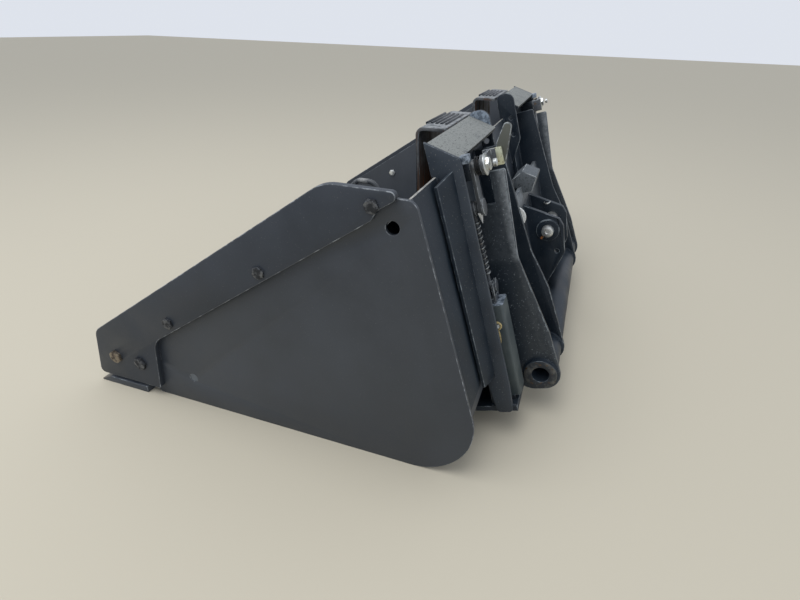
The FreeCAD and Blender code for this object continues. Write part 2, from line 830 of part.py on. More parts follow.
def lever(side):
    """Crank, sleeve and arm in one, with the pin that the link hangs on."""
    x = side * latch_x
    half = crank_w / 2
    body = out_rod(x, hub_s, hub_r, lever_t0, coil_t0)
    body = body.fuse(face_outline([(x - half, hub_s), (x + half, hub_s),
                                   (x + eye_r, eye_s), (x - eye_r, eye_s)], lever_t0, coil_t0))
    body = body.fuse(out_rod(x, eye_s, eye_r, lever_t0, coil_t0))
    body = body.fuse(out_rod(x, hub_s, sleeve_r, coil_t0, arm_t0))
    body = body.fuse(out_rod(x, hub_s, arm_hub_r, arm_t0, arm_t1))
    body = body.fuse(face_outline([(x, strap_low), (x, strap_low + strap_h),
                                   (side * strap_x0, strap_low + strap_h),
                                   (side * strap_x0, strap_low)], arm_t0, arm_t1))
    body = body.cut(out_rod(x, hub_s, bolt_r + pin_gap, lever_t0, arm_t1))
    collar_t0 = latch_t + link_eye_t / 2 + run_gap
    body = body.fuse(out_rod(x, eye_s, link_pin_r + pin_collar, collar_t0, lever_t0))
    body = body.fuse(out_rod(x, eye_s, link_pin_r, latch_t - link_eye_t / 2, lever_t0))
    body = body.fuse(out_rod(x, eye_s, pin_head_r, coil_t0, coil_t0 + pin_head_t))
    return body.removeSplitter()


def lever_strap(side):
    """Inner end of the arm, with a flange across it."""
    reach = flange_reach if side > 0 else bare_flange_reach
    profile = [
        (strap_x0, arm_t0), (strap_x1 + flange_t, arm_t0), (strap_x1 + flange_t, flange_start),
        (strap_x1, flange_start), (strap_x1, reach), (strap_x1 + flange_t, reach),
        (strap_x1 + flange_t, arm_t1), (strap_x0, arm_t1),
    ]
    ring = []
    for x, t in profile:
        y, z = wall_point(t, strap_low)
        ring.append(V(side * x, y, z))
    face = Part.Face(Part.makePolygon(ring + ring[:1]))
    return face.extrude(V(0, -sin_a, cos_a) * strap_h)


def lever_grip():
    """Flat grip on the left flange, that leans out from the wall and so stands plumb."""
    t0 = grip_start
    corners = [
        (t0, strap_low),
        (t0 + grip_w, strap_low, grip_r / 2),
        (t0 + grip_lean, strap_low + grip_h, grip_r),
        (t0 + grip_nose[0], strap_low + grip_nose[1], grip_r),
        (t0 + grip_knee[0], strap_low + grip_knee[1], grip_knee_r),
    ]
    return wall_plate(corners, strap_x1 - grip_t, strap_x1)


def link_rod(side):
    """Rod with a flat eye at each end."""
    x = side * latch_x
    t0, t1 = latch_t - link_eye_t / 2, latch_t + link_eye_t / 2
    body = up_rod(x, latch_t, rod_r, low_pin_s, eye_s)
    body = body.fuse(out_rod(x, eye_s, eye_r, t0, t1))
    body = body.fuse(out_rod(x, low_pin_s, low_eye_r, t0, t1))
    body = body.cut(out_rod(x, eye_s, link_pin_r + pin_gap, t0, t1))
    pin_end = tongue_t0 + tongue_t + run_gap
    cap_r = low_pin_r + 1.5 * slot_side
    body = body.fuse(out_rod(x, low_pin_s, low_pin_r, t0, pin_end))
    body = body.fuse(out_rod(x, low_pin_s, cap_r, pin_end, pin_end + pin_cap_t))
    return body.removeSplitter()


def link_spring(side):
    """Outside of the spring round the rod, as a plain sleeve."""
    x = side * latch_x
    s0, s1 = low_pin_s + spring_low, eye_s - spring_high
    return up_rod(x, latch_t, spring_r, s0, s1).cut(up_rod(x, latch_t, rod_r, s0, s1))


def wedge(side):
    """Wedge bar with a tapered foot and a slotted tongue beside the link's lower eye."""
    x = side * latch_x
    half = wedge_w / 2
    t0, t1 = latch_t - wedge_d / 2, latch_t + wedge_d / 2
    top = low_pin_s - wedge_top_drop
    corners = [
        (t0, top),
        (t1, top),
        (t1, wedge_low, wedge_corner_r),
        (t0 + wedge_d / 2, wedge_low, wedge_tip_r),
        (t0, wedge_low + wedge_taper),
    ]
    bar = wall_plate(corners, x - half, x + half)
    slot_top = low_pin_s + low_pin_r + slot_up
    root = guide_top + tongue_gap
    foot = wall_block(x - half, x + half, latch_t, tongue_t0 + tongue_t, root, top)
    tongue = wall_block(x - half, x + half, tongue_t0, tongue_t0 + tongue_t,
                        root, slot_top + tongue_top)
    slot_half = low_pin_r + slot_side
    slot = wall_block(x - slot_half, x + slot_half, tongue_t0, tongue_t0 + tongue_t,
                      low_pin_s - low_pin_r - slot_down, slot_top)
    return bar.fuse([foot, tongue]).removeSplitter().cut(slot)


single = {
    "bucket_shell": bucket_shell,
    "cutting_edge": cutting_edge,
    "wear_strips": wear_strips,
    "top_stiffener": top_stiffener,
    "tie_loop": tie_loop,
    "cross_tube": cross_tube,
    "cross_panel": cross_panel,
    "stop_block": stop_block,
    "tilt_ears": tilt_ears,
    "tilt_pin": tilt_pin,
    "lever_grip": lever_grip,
}
paired = {
    "side_plate": side_plate,
    "side_cutter": side_cutter,
    "cutter_bolts": cutter_bolts,
    "step": step,
    "bracket_outer": bracket_outer,
    "bracket_inner": bracket_inner,
    "bracket_cap": bracket_cap,
    "bracket_gusset": bracket_gusset,
    "bracket_shelf": bracket_shelf,
    "coupler_face": coupler_face,
    "outer_web": outer_web_plate,
    "inner_web": inner_web_plate,
    "pivot_boss": pivot_boss,
    "wedge_guide": wedge_guide,
    "pivot_bolt": pivot_bolt,
    "pivot_coil": pivot_coil,
    "lever": lever,
    "lever_strap": lever_strap,
    "link_rod": link_rod,
    "link_spring": link_spring,
    "wedge": wedge,
}

nodes = {name: make() for name, make in single.items()}
for name, make in paired.items():
    nodes[name + "_left"] = make(1)
    nodes[name + "_right"] = make(-1)

# The origin is under the middle of the whole part.
box = FreeCAD.BoundBox()
for shape in nodes.values():
    box.add(shape.BoundBox)
middle = V(0, -(box.YMin + box.YMax) / 2, 0)
for name, shape in nodes.items():
    shape.translate(middle)
    shape.exportStep("parts/" + name + ".step")
    print(name, len(shape.Solids), "%.0f cm3" % (shape.Volume / 1000), shape.isValid())


def report(label, x, t, s):
    y, z = wall_point(t, s)
    print(label, "%.3f %.3f %.3f" % (x, y + middle.y, z))


print("box", box.XLength, box.YLength, box.ZMin, box.ZMax, "shift", middle.y)
report("hub", latch_x, lever_t0, hub_s)
report("eye", latch_x, latch_t, eye_s)
report("low pin", latch_x, latch_t, low_pin_s)
report("arm pivot", (inner_web - web_t + outer_web + boss_proud) / 2, pivot_t, pivot_s)
report("tilt pin", 0, tilt_t, tilt_s)
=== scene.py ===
import bpy
import math
from mathutils import Matrix, Vector


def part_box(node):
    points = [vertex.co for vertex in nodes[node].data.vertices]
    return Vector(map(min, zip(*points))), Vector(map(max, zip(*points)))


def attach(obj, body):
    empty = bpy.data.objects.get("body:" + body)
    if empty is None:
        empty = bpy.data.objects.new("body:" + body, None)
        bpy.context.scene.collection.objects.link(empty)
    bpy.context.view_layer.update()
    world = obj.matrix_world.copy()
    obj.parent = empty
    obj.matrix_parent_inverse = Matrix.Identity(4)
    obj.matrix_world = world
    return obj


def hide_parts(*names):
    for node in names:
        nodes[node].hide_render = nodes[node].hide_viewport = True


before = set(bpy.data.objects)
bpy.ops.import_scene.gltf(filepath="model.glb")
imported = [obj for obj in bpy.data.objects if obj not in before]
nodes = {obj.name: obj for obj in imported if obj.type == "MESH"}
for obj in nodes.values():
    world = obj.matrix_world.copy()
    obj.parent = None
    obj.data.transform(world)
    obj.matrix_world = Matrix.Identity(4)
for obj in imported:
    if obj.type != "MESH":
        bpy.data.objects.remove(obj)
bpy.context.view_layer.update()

# Cutting edge: a flat bar of hard steel across the bucket's front, bevelled on its upper side
# and welded under the floor plate. It came painted, and digging has scraped its tip bare.
ROOT = "bucket_on_coupler"


def linear(code):
    """Linear colour of an sRGB hex value."""
    parts = [int(code[i:i + 2], 16) / 255 for i in (1, 3, 5)]
    return [c / 12.92 if c <= 0.04045 else ((c + 0.055) / 1.055) ** 2.4 for c in parts] + [1.0]


def add(tree, kind, settings, **links):
    """Adds a shader node. A setting is the node's own, or an input's by name or number. A link
    names an input, with _ for a space or its number as in_0, and says which output goes there,
    or which node with its first one."""
    node = tree.nodes.new("ShaderNode" + kind)
    for key, value in settings.items():
        if isinstance(key, str) and hasattr(node, key):
            setattr(node, key, value)
        else:
            node.inputs[key].default_value = value
    for key, source in links.items():
        name = int(key[3:]) if key.startswith("in_") else key.replace("_", " ")
        tree.links.new(source.outputs[0] if hasattr(source, "outputs") else source, node.inputs[name])
    return node


def new_material(name):
    """Empty node material, with its tree and the object's own coordinates."""
    material = bpy.data.materials.new(name)
    material.use_nodes = True
    tree = material.node_tree
    tree.nodes.clear()
    return material, tree, add(tree, "TexCoord", {}).outputs["Object"]


def enamel(name, paint, shade, dust, dust_share, rough, cloud_mm, speck_share, gloss=0.5):
    """Sprayed enamel: two close shades of paint, dust lying in clouds where it looks up, pale
    specks of grit, duller where dusty, and orange peel in the gloss. Grit and peel are finer in
    life, and are drawn 2.3 and 4.2 mm apart, as coarse as they need to show."""
    material, tree, place = new_material(name)
    drift = add(tree, "TexNoise", {"Scale": 1000 / (2.4 * cloud_mm), "Detail": 2.0}, Vector=place)
    spread = add(tree, "MapRange", {"From Min": 0.35, "From Max": 0.65}, Value=drift)
    coat = add(tree, "Mix", {"data_type": "RGBA", 6: linear(paint), 7: linear(shade)}, in_0=spread)
    cloud = add(tree, "TexNoise", {"Scale": 1000 / cloud_mm, "Detail": 6.0, "Roughness": 0.62},
                Vector=place)
    lying = add(tree, "MapRange", {"From Min": 0.36, "From Max": 0.72}, Value=cloud)
    facing = add(tree, "NewGeometry", {})
    split = add(tree, "SeparateXYZ", {}, Vector=facing.outputs["Normal"])
    upward = add(tree, "MapRange", {"From Min": 0.1, "From Max": 0.95, "To Min": 0.3 * dust_share,
                 "To Max": dust_share}, Value=split.outputs["Z"])
    share = add(tree, "Math", {"operation": "MULTIPLY"}, in_0=lying, in_1=upward)
    dusty = add(tree, "Mix", {"data_type": "RGBA", 7: linear(dust)}, in_0=share, in_6=coat.outputs[2])
    grit = add(tree, "TexNoise", {"Scale": 1000 / 2.326, "Detail": 3.0}, Vector=place)
    speck = add(tree, "MapRange", {"From Min": 0.66, "From Max": 0.74, "To Max": speck_share},
                Value=grit)
    specked = add(tree, "Mix", {"data_type": "RGBA", 7: linear("#a3a29b")}, in_0=speck,
                  in_6=dusty.outputs[2])
    dull = add(tree, "MapRange", {"To Min": rough - 0.04, "To Max": rough + 0.20}, Value=lying)
    peel = add(tree, "TexNoise", {"Scale": 1000 / 4.167, "Detail": 2.0}, Vector=place)
    bump = add(tree, "Bump", {"Strength": 0.10, "Distance": 0.0006}, Height=peel)
    shader = add(tree, "BsdfPrincipled", {"IOR": 1.5, "Specular IOR Level": gloss},
                 Base_Color=specked.outputs[2], Roughness=dull, Normal=bump)
    add(tree, "OutputMaterial", {}, Surface=shader)
    return material


# Sprayed satin enamel over hot-rolled plate. The eye sees an even, slightly blue charcoal that
# clouds over about 90 mm, and fine orange peel where light shines in it.
bucket_enamel = enamel("satin_charcoal_enamel", "#2d333b", "#343a42", "#777b80", dust_share=0.28,
                       rough=0.40, cloud_mm=90.0, speck_share=0.10)


def rubbed(name, paint, metal, rough, patch_mm, share):
    """Edge where handling rubbed the enamel thin: paint broken by patches of paler metal."""
    material, tree, place = new_material(name)
    patch = add(tree, "TexNoise", {"Scale": 1000 / patch_mm, "Detail": 6.0, "Roughness": 0.7},
                Vector=place)
    bare = add(tree, "MapRange", {"From Min": 0.62 - 0.3 * share, "From Max": 0.74 - 0.3 * share},
               Value=patch)
    colour = add(tree, "Mix", {"data_type": "RGBA", 6: linear(paint), 7: linear(metal)}, in_0=bare)
    dull = add(tree, "MapRange", {"To Min": rough, "To Max": rough + 0.12}, Value=patch)
    shader = add(tree, "BsdfPrincipled", {"IOR": 1.5}, Base_Color=colour.outputs[2], Roughness=dull)
    add(tree, "OutputMaterial", {}, Surface=shader)
    return material


# The rubbed corner of a sheared plate: a thin grey line, broken over a couple of centimetres.
bucket_edge = rubbed("rubbed_enamel_edge", "#454a50", "#8a8f94", rough=0.42, patch_mm=18.0, share=0.45)


def scraped(name, metal, dark, rust, rough, rust_from):
    """Bare steel scraped along its length, in lines 4 mm apart as coarse as they need to show,
    with stains of rust left in the low spots."""
    material, tree, place = new_material(name)
    drawn = add(tree, "Mapping", {"Scale": (1000 / 3.846, 1000 / 71.43, 1000 / 3.846)}, Vector=place)
    line = add(tree, "TexNoise", {"Scale": 1.0, "Detail": 4.0, "Roughness": 0.7}, Vector=drawn)
    tone = add(tree, "Mix", {"data_type": "RGBA", 6: linear(dark), 7: linear(metal)}, in_0=line)
    stain = add(tree, "TexNoise", {"Scale": 1000 / 22.22, "Detail": 8.0, "Roughness": 0.7}, Vector=place)
    rusty = add(tree, "MapRange", {"From Min": rust_from, "From Max": rust_from + 0.12}, Value=stain)
    colour = add(tree, "Mix", {"data_type": "RGBA", 7: linear(rust)}, in_0=rusty, in_6=tone.outputs[2])
    bright = add(tree, "MapRange", {"To Min": 0.8, "To Max": 0.1}, Value=rusty)
    dull = add(tree, "MapRange", {"To Min": rough, "To Max": 0.8}, Value=rusty)
    bump = add(tree, "Bump", {"Strength": 0.25, "Distance": 0.0005}, Height=line)
    shader = add(tree, "BsdfPrincipled", {}, Base_Color=colour.outputs[2], Metallic=bright,
                 Roughness=dull, Normal=bump)
    add(tree, "OutputMaterial", {}, Surface=shader)
    return material


# Hot-rolled bar scraped over gravel: dull steel drawn out along the way it slid, brown in the pits.
scraped_steel = scraped("gravel_scraped_steel", "#7d7a74", "#55524d", "#5e4632", rough=0.45,
                        rust_from=0.50)


def deselect():
    """Deselects everything, so that an operator acts on the next piece alone."""
    bpy.ops.object.select_all(action="DESELECT")


def only(piece):
    """Selects this piece alone and makes it active."""
    deselect()
    piece.select_set(True)
    bpy.context.view_layer.objects.active = piece


def open_up(piece):
    """Opens this piece alone in edit mode, with all of it selected."""
    only(piece)
    bpy.ops.object.mode_set(mode="EDIT")
    bpy.ops.mesh.select_all(action="SELECT")


def close_up():
    """Closes the piece that is open in edit mode."""
    bpy.ops.object.mode_set(mode="OBJECT")


def dress(name, body, faces, edge, round_m):
    """Copies a CAD node's mesh, joins its loose triangles into faces and rounds its edges."""
    mesh = nodes[name].data.copy()
    piece = bpy.data.objects.new(name + "_dressed", mesh)
    bpy.context.scene.collection.objects.link(piece)
    only(piece)
    mesh.materials.clear()
    mesh.materials.append(faces)
    mesh.materials.append(edge)
    bpy.ops.mesh.customdata_custom_splitnormals_clear()
    open_up(piece)
    bpy.ops.mesh.remove_doubles(threshold=0.00002)
    bpy.ops.mesh.dissolve_limited(angle_limit=math.radians(0.6))
    close_up()
    bevel = piece.modifiers.new("rounded_edge", "BEVEL")
    bevel.width = round_m
    bevel.segments = 2
    bevel.limit_method = "ANGLE"
    bevel.angle_limit = math.radians(32)
    bevel.use_clamp_overlap = False
    bevel.material = 1
    bpy.ops.object.modifier_apply(modifier="rounded_edge")
    bpy.ops.object.shade_smooth_by_angle(angle=math.radians(30))
    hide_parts(name)
    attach(piece, body)
    return piece


def recoat(piece, coat, chosen):
    """Gives a further finish to the faces that chosen(centre, normal) picks."""
    piece.data.materials.append(coat)
    for face in piece.data.polygons:
        if chosen(face.center, face.normal):
            face.material_index = len(piece.data.materials) - 1


tip_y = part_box("cutting_edge")[0].y
edge_bevel_m = 0.024
edge_bar = dress("cutting_edge", ROOT, bucket_enamel, bucket_edge, round_m=0.0009)
recoat(edge_bar, scraped_steel, lambda at, out: at.y < tip_y + edge_bevel_m or out.z < -0.9)

# Wear strips: three flat bars of hard steel welded under the floor. They slide over the gravel
# behind the cutting edge, so they carry no paint and only rust in the pits.
wear_edge = rubbed("strip_corner_steel", "#6a655d", "#97938b", rough=0.40, patch_mm=14.0, share=0.6)
dress("wear_strips", ROOT, scraped_steel, wear_edge, round_m=0.0012)

# Bucket shell: floor, heel and back wall, bent from one 5 mm plate. A bead joins the floor's
# front end to the cutting edge. The load has polished nothing yet: the paint is only scuffed.
# All sizes are in mm from here on, and MM turns them to metres.
MM = 0.001
LEAN = math.radians(17.8)
wall_foot_y = 787.0
WALL_UP = Vector((0, -math.sin(LEAN), math.cos(LEAN)))
WALL_OUT = Vector((0, math.cos(LEAN), math.sin(LEAN)))
WALL_FOOT = Vector((0, tip_y + wall_foot_y * MM, 0))


def on_wall(x, t, s):
    """Place in metres of a point x across, t out of the back wall's rear face and s up it, in mm."""
    return WALL_FOOT + Vector((x * MM, 0, 0)) + WALL_OUT * t * MM + WALL_UP * s * MM


def up_wall(at):
    """How far up the back wall a place is, in mm."""
    return (at - WALL_FOOT).dot(WALL_UP) / MM


def out_of_wall(at):
    """How far behind the back wall's rear face a place is, in mm."""
    return (at - WALL_FOOT).dot(WALL_OUT) / MM


def from_tip(x, y, z):
    """Place in metres of a point x across, y behind the cutting edge's tip and z up, in mm."""
    return Vector((x * MM, tip_y + y * MM, z * MM))


wall_len, skin = 481.0, 5.0
shell = dress("bucket_shell", ROOT, bucket_enamel, bucket_edge, round_m=0.0008)

# Corner of the lip where loads and hands have rubbed it: bright, a little brown in patches.
worn_lip = rubbed("rubbed_lip_steel", "#62625f", "#9d9b95", rough=0.45, patch_mm=22.0, share=0.7)
recoat(shell, worn_lip,
       lambda at, out: up_wall(at) > wall_len - 1.5 and abs(out_of_wall(at) + skin / 2) < 3.5)

RIPPLE = 3.0 * MM
bead_seeds = iter(range(1, 1000))


def ripple(size, pitch, place, ahead):
    """One ripple of a weld bead of this size in mm: a stub of a cone, half sunk in both plates."""
    deselect()
    bpy.ops.mesh.primitive_cone_add(vertices=8, radius1=size * MM, radius2=0.7 * size * MM,
                                    depth=1.6 * pitch, location=place,
                                    rotation=ahead.to_track_quat("Z", "Y").to_euler())
    return bpy.context.object


def bead(start, end, size):
    """Fillet weld: a row of ripples along the corner from start to end."""
    run = end - start
    count = max(2, round(run.length / RIPPLE))
    pitch = run.length / count
    piece = ripple(size, pitch, start + run * (0.5 / count), run)
    row = piece.modifiers.new("ripples", "ARRAY")
    row.count = count
    row.use_relative_offset = False
    row.use_constant_offset = True
    row.constant_offset_displace = (0, 0, pitch)
    bpy.ops.object.modifier_apply(modifier="ripples")
    return piece


def ring_bead(centre, axis, radius, size, start, turn):
    """Fillet weld round an axis: ripples from the start direction on, through this turn."""
    middle = Vector(centre)
    arm = (Vector(start) - axis * axis.dot(start)).normalized()
    count = max(3, round(abs(turn) * radius * MM / RIPPLE))
    pitch = abs(turn) * radius * MM / count
    ahead = axis.cross(arm) * (1 if turn > 0 else -1)
    piece = ripple(size, pitch, middle + arm * radius * MM, ahead)
    open_up(piece)
    bpy.ops.mesh.spin(steps=count - 1, angle=turn * (count - 1) / count, dupli=True,
                      center=middle, axis=axis)
    close_up()
    return piece


def join_as(name, pieces, body, finish, *coats):
    """Makes one named piece of these, with its place in its mesh, and hands it to its body."""
    only(pieces[0])
    for other in pieces[1:]:
        other.select_set(True)
    if len(pieces) > 1:
        bpy.ops.object.join()
    piece = bpy.context.object
    bpy.ops.object.transform_apply(location=True, rotation=True, scale=True)
    piece.name = name
    for coat in coats:
        piece.data.materials.append(coat)
    bpy.ops.object.shade_smooth_by_angle(angle=math.radians(35))
    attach(piece, body)
    return piece


def welds(name, beads, coat):
    """Joins a piece's weld beads and makes them a little uneven, as a hand-laid bead is."""
    piece = join_as(name, beads, ROOT, "body_paint", coat)
    open_up(piece)
    bpy.ops.transform.vertex_random(offset=0.35 * MM, seed=next(bead_seeds))
    bpy.ops.mesh.normals_make_consistent(inside=False)
    close_up()
    return piece


side_in, floor_front, floor_top = 552.5, 60.0, 19.0
step_up, stiffener_foot = 14.5, 379.5
bead_end = side_in - 4.0
welds("floor_weld", [
    bead(from_tip(-bead_end, floor_front, step_up), from_tip(bead_end, floor_front, step_up), 4.0),
    bead(on_wall(-bead_end, -skin, stiffener_foot), on_wall(bead_end, -skin, stiffener_foot), 3.5)],
    bucket_enamel)

# Stiffener: a bent plate that makes a closed triangle with the wall behind the lip. Its upper
# leg takes the knocks when the bucket is filled, and is rubbed brown-grey along the top.
stiffener_leg = 24.0
stiffener = dress("top_stiffener", ROOT, bucket_enamel, bucket_edge, round_m=0.0008)
knocked_top = rubbed("knocked_enamel", "#5b5651", "#837d75", rough=0.5, patch_mm=40.0, share=0.7)
recoat(stiffener, knocked_top,
       lambda at, out: out.dot(WALL_UP) > 0.75 and up_wall(at) > wall_len - stiffener_leg)

# Side plates: 6.5 mm plate cut to the bucket's side and welded to the shell inside and out.
# Each has a 20 mm hole for a hook near its top, and a plug pressed in low in front.
SIDES = (("left", 1), ("right", -1))
ACROSS = Vector((1, 0, 0))
heel_y, heel_z = 656.34, 106.0
shell_in_r, shell_out_r = 87.0, 92.0
heel_turn = math.radians(90.0) + LEAN
heel_end, inner_end, outer_end = 141.0, 378.0, 479.0
plug_x, plug_y, plug_z = 556.6, 226.0, 58.0


def stood(start, axis, degrees=0):
    """Placement of a piece modelled at the origin: on start, up along axis and turned about it."""
    return Matrix.Translation(start) @ axis.to_track_quat("Z", "Y").to_matrix().to_4x4() \
        @ Matrix.Rotation(math.radians(degrees), 4, "Z")


def turned(start, axis, profile, sides=32):
    """Turned piece: a disc pushed out along its axis, drawn in or out to each (radius, height) in mm."""
    deselect()
    bpy.ops.mesh.primitive_circle_add(vertices=sides, radius=profile[0][0] * MM, fill_type="NGON",
                                      location=(0, 0, profile[0][1] * MM))
    piece = bpy.context.object
    open_up(piece)
    for (old_r, old_h), (r, h) in zip(profile, profile[1:]):
        bpy.ops.mesh.extrude_region_move(TRANSFORM_OT_translate={"value": (0, 0, (h - old_h) * MM)})
        bpy.ops.transform.resize(value=(r / old_r, r / old_r, 1), center_override=(0, 0, h * MM))
    bpy.ops.mesh.select_all(action="SELECT")
    bpy.ops.mesh.normals_make_consistent(inside=False)
    close_up()
    piece.matrix_world = stood(start, axis)
    return piece


# The plug is stamped sheet under the same enamel, coloured paler as a painted highlight for the light on
# its dimpled rim, and with more gloss.
plug_highlight_paint = enamel("pale_painted_highlight_plug_paint", "#4b5259", "#545b62", "#8d9194", dust_share=0.30, rough=0.34,
                     cloud_mm=90.0, speck_share=0.10)
for side, sign in SIDES:
    dress("side_plate_" + side, ROOT, bucket_enamel, bucket_edge, round_m=0.0009)
    edge_x = sign * side_in
    heel = from_tip(edge_x, heel_y, heel_z)
    inner = [
        bead(from_tip(edge_x, floor_front + 8, floor_top), from_tip(edge_x, heel_y, floor_top), 3.5),
        ring_bead(heel, ACROSS, shell_in_r, 3.5, (0, 0, -1), heel_turn),
        bead(on_wall(edge_x, -skin, heel_end), on_wall(edge_x, -skin, inner_end), 3.5),
    ]
    outer = [
        ring_bead(heel, ACROSS, shell_out_r, 3.5, (0, 0, -1), heel_turn),
        bead(on_wall(edge_x, 0, heel_end), on_wall(edge_x, 0, outer_end), 3.5),
    ]
    welds("side_plate_welds_" + side, inner + outer, bucket_enamel)
    plug = turned(from_tip(sign * plug_x, plug_y, plug_z), ACROSS * sign,
                  [(8.3, 0.0), (8.3, 1.0), (7.7, 1.5), (6.2, 1.5), (5.8, 1.2)])
    join_as("pressed_plug_" + side, [plug], ROOT, "body_paint", plug_highlight_paint)

# Tie loop: a bent 7 mm bar welded inside the left side plate, to hang a chain on. It was
# brushed with the same paint, which has come off in patches.
bar_steel = rubbed("half_painted_bar", "#3a3e42", "#8b8c8a", rough=0.38, patch_mm=16.0, share=0.55)
dress("tie_loop", ROOT, bar_steel, bar_steel, round_m=0.0002)
loop_feet, loop_z = (551.0, 588.0), 424.0
FULL_TURN = 2 * math.pi
welds("tie_loop_welds",
      [ring_bead(from_tip(side_in - 0.5, y, loop_z), ACROSS, 4.0, 1.8, (0, 0, 1), FULL_TURN)
       for y in loop_feet], bucket_enamel)

# Side cutters: 12 mm plates bolted along the side plates' front and top edges. The two front
# bolts are M16 and the three others M12, their heads outside and their nuts inside.
cutter_enamel = enamel("satin_cutter_enamel", "#282e36", "#2f353e", "#70757b", dust_share=0.24,
                       rough=0.44, cloud_mm=70.0, speck_share=0.12, gloss=0.36)
for side, sign in SIDES:
    dress("side_cutter_" + side, ROOT, cutter_enamel, bucket_edge, round_m=0.0012)

# Of each bolt: mm behind the tip and up, mm across its flats, and the degrees it was left at.
cutter_face = 571.0
bolts = [(56.0, 71.0, 24.0, 8), (116.0, 71.0, 24.0, 41), (206.0, 181.0, 19.0, 17),
         (408.0, 318.0, 19.0, 52), (593.0, 448.0, 19.0, 27)]


def weathered_plate(name, metal, dirt, rust, rough, patch_mm, dirt_share, metallic=0.9):
    """Zinc or bare metal gone dull: metal patches between road dirt, with small rust stains."""
    material, tree, place = new_material(name)
    patch = add(tree, "TexNoise", {"Scale": 1000 / patch_mm, "Detail": 5.0, "Roughness": 0.65},
                Vector=place)
    soiled = add(tree, "MapRange", {"From Min": 0.62 - 0.4 * dirt_share,
                 "From Max": 0.80 - 0.4 * dirt_share}, Value=patch)
    stain = add(tree, "TexNoise", {"Scale": 1000 / (0.3846 * patch_mm), "Detail": 6.0}, Vector=place)
    rusty = add(tree, "MapRange", {"From Min": 0.60, "From Max": 0.70}, Value=stain)
    tone = add(tree, "Mix", {"data_type": "RGBA", 6: linear(metal), 7: linear(dirt)}, in_0=soiled)
    colour = add(tree, "Mix", {"data_type": "RGBA", 7: linear(rust)}, in_0=rusty, in_6=tone.outputs[2])
    bright = add(tree, "MapRange", {"To Min": metallic, "To Max": 0.25}, Value=soiled)
    dull = add(tree, "MapRange", {"To Min": rough, "To Max": 0.7}, Value=soiled)
    bump = add(tree, "Bump", {"Strength": 0.15, "Distance": 0.0003}, Height=patch)
    shader = add(tree, "BsdfPrincipled", {}, Base_Color=colour.outputs[2], Metallic=bright,
                 Roughness=dull, Normal=bump)
    add(tree, "OutputMaterial", {}, Surface=shader)
    return material


# Zinc-plated bolts after a year outside: dark grey dirt, with the plate still bright on a facet.
bolt_zinc = weathered_plate("weathered_bolt_zinc", "#6b6e73", "#202327", "#2f2c2a", rough=0.24,
                            patch_mm=8.0, dirt_share=0.66)
# Their nuts inside stayed clean: pale zinc plate.
nut_zinc = weathered_plate("clean_nut_zinc", "#e6e8e6", "#a2a5a2", "#8a7552", rough=0.34, patch_mm=12.0,
                           dirt_share=0.2)
# Zinc coloured near-white as a painted highlight: it looks pale from every side, even in shade, with
# little shine left.
highlight_painted_zinc = weathered_plate("zinc_with_painted_highlight", "#eff1ef", "#b4b7b3", "#8a7552", rough=0.42,
                              patch_mm=12.0, dirt_share=0.1, metallic=0.3)
# The lowest bolt's head is scoured by gravel to a yellow-brown.
scoured_bolt = weathered_plate("scoured_bolt_head", "#8f8577", "#40372e", "#5f4732", rough=0.30,
                               patch_mm=9.0, dirt_share=0.5)


def hexagon_nut(flats, height):
    """Nut or head in mm, with its middle on the origin: a hexagon, its corners turned to 30 degrees."""
    reach = flats / math.sqrt(3)
    crown_r = 0.475 * flats
    slope = math.tan(math.radians(30))
    deselect()
    bpy.ops.mesh.primitive_cone_add(vertices=48, radius1=(crown_r + height / slope) * MM,
                                    radius2=crown_r * MM, depth=height * MM)
    turning = bpy.context.object
    deselect()
    bpy.ops.mesh.primitive_cylinder_add(vertices=6, radius=reach * MM, depth=height * MM)
    nut = bpy.context.object
    chamfer = nut.modifiers.new("turned_corners", "BOOLEAN")
    chamfer.operation = "INTERSECT"
    chamfer.solver = "EXACT"
    chamfer.object = turning
    bpy.ops.object.modifier_apply(modifier="turned_corners")
    bpy.data.objects.remove(turning)
    return nut


def copy_to(piece, start, axis, degrees):
    """Copy of a piece, with its own mesh, on start, up along axis and turned about it."""
    twin = piece.copy()
    twin.data = piece.data.copy()
    bpy.context.scene.collection.objects.link(twin)
    twin.matrix_world = stood(start, axis, degrees)
    return twin


def threaded_end(start, axis, radius, length):
    """End of a bolt: a chamfered tip, and ridges 1.75 mm apart, as coarse as they need to show."""
    profile = [(radius, 0.0)]
    ridges = max(1, int(length / 1.75))
    for i in range(ridges):
        at = length * i / ridges
        profile += [(radius, at + 0.45), (0.88 * radius, at + 0.8), (0.88 * radius, at + 1.0),
                    (radius, at + 1.3)]
    profile += [(radius, length), (0.80 * radius, length + 0.8)]
    return turned(start, axis, [p for i, p in enumerate(profile)
                                if i == 0 or p[1] > profile[i - 1][1]], 24)


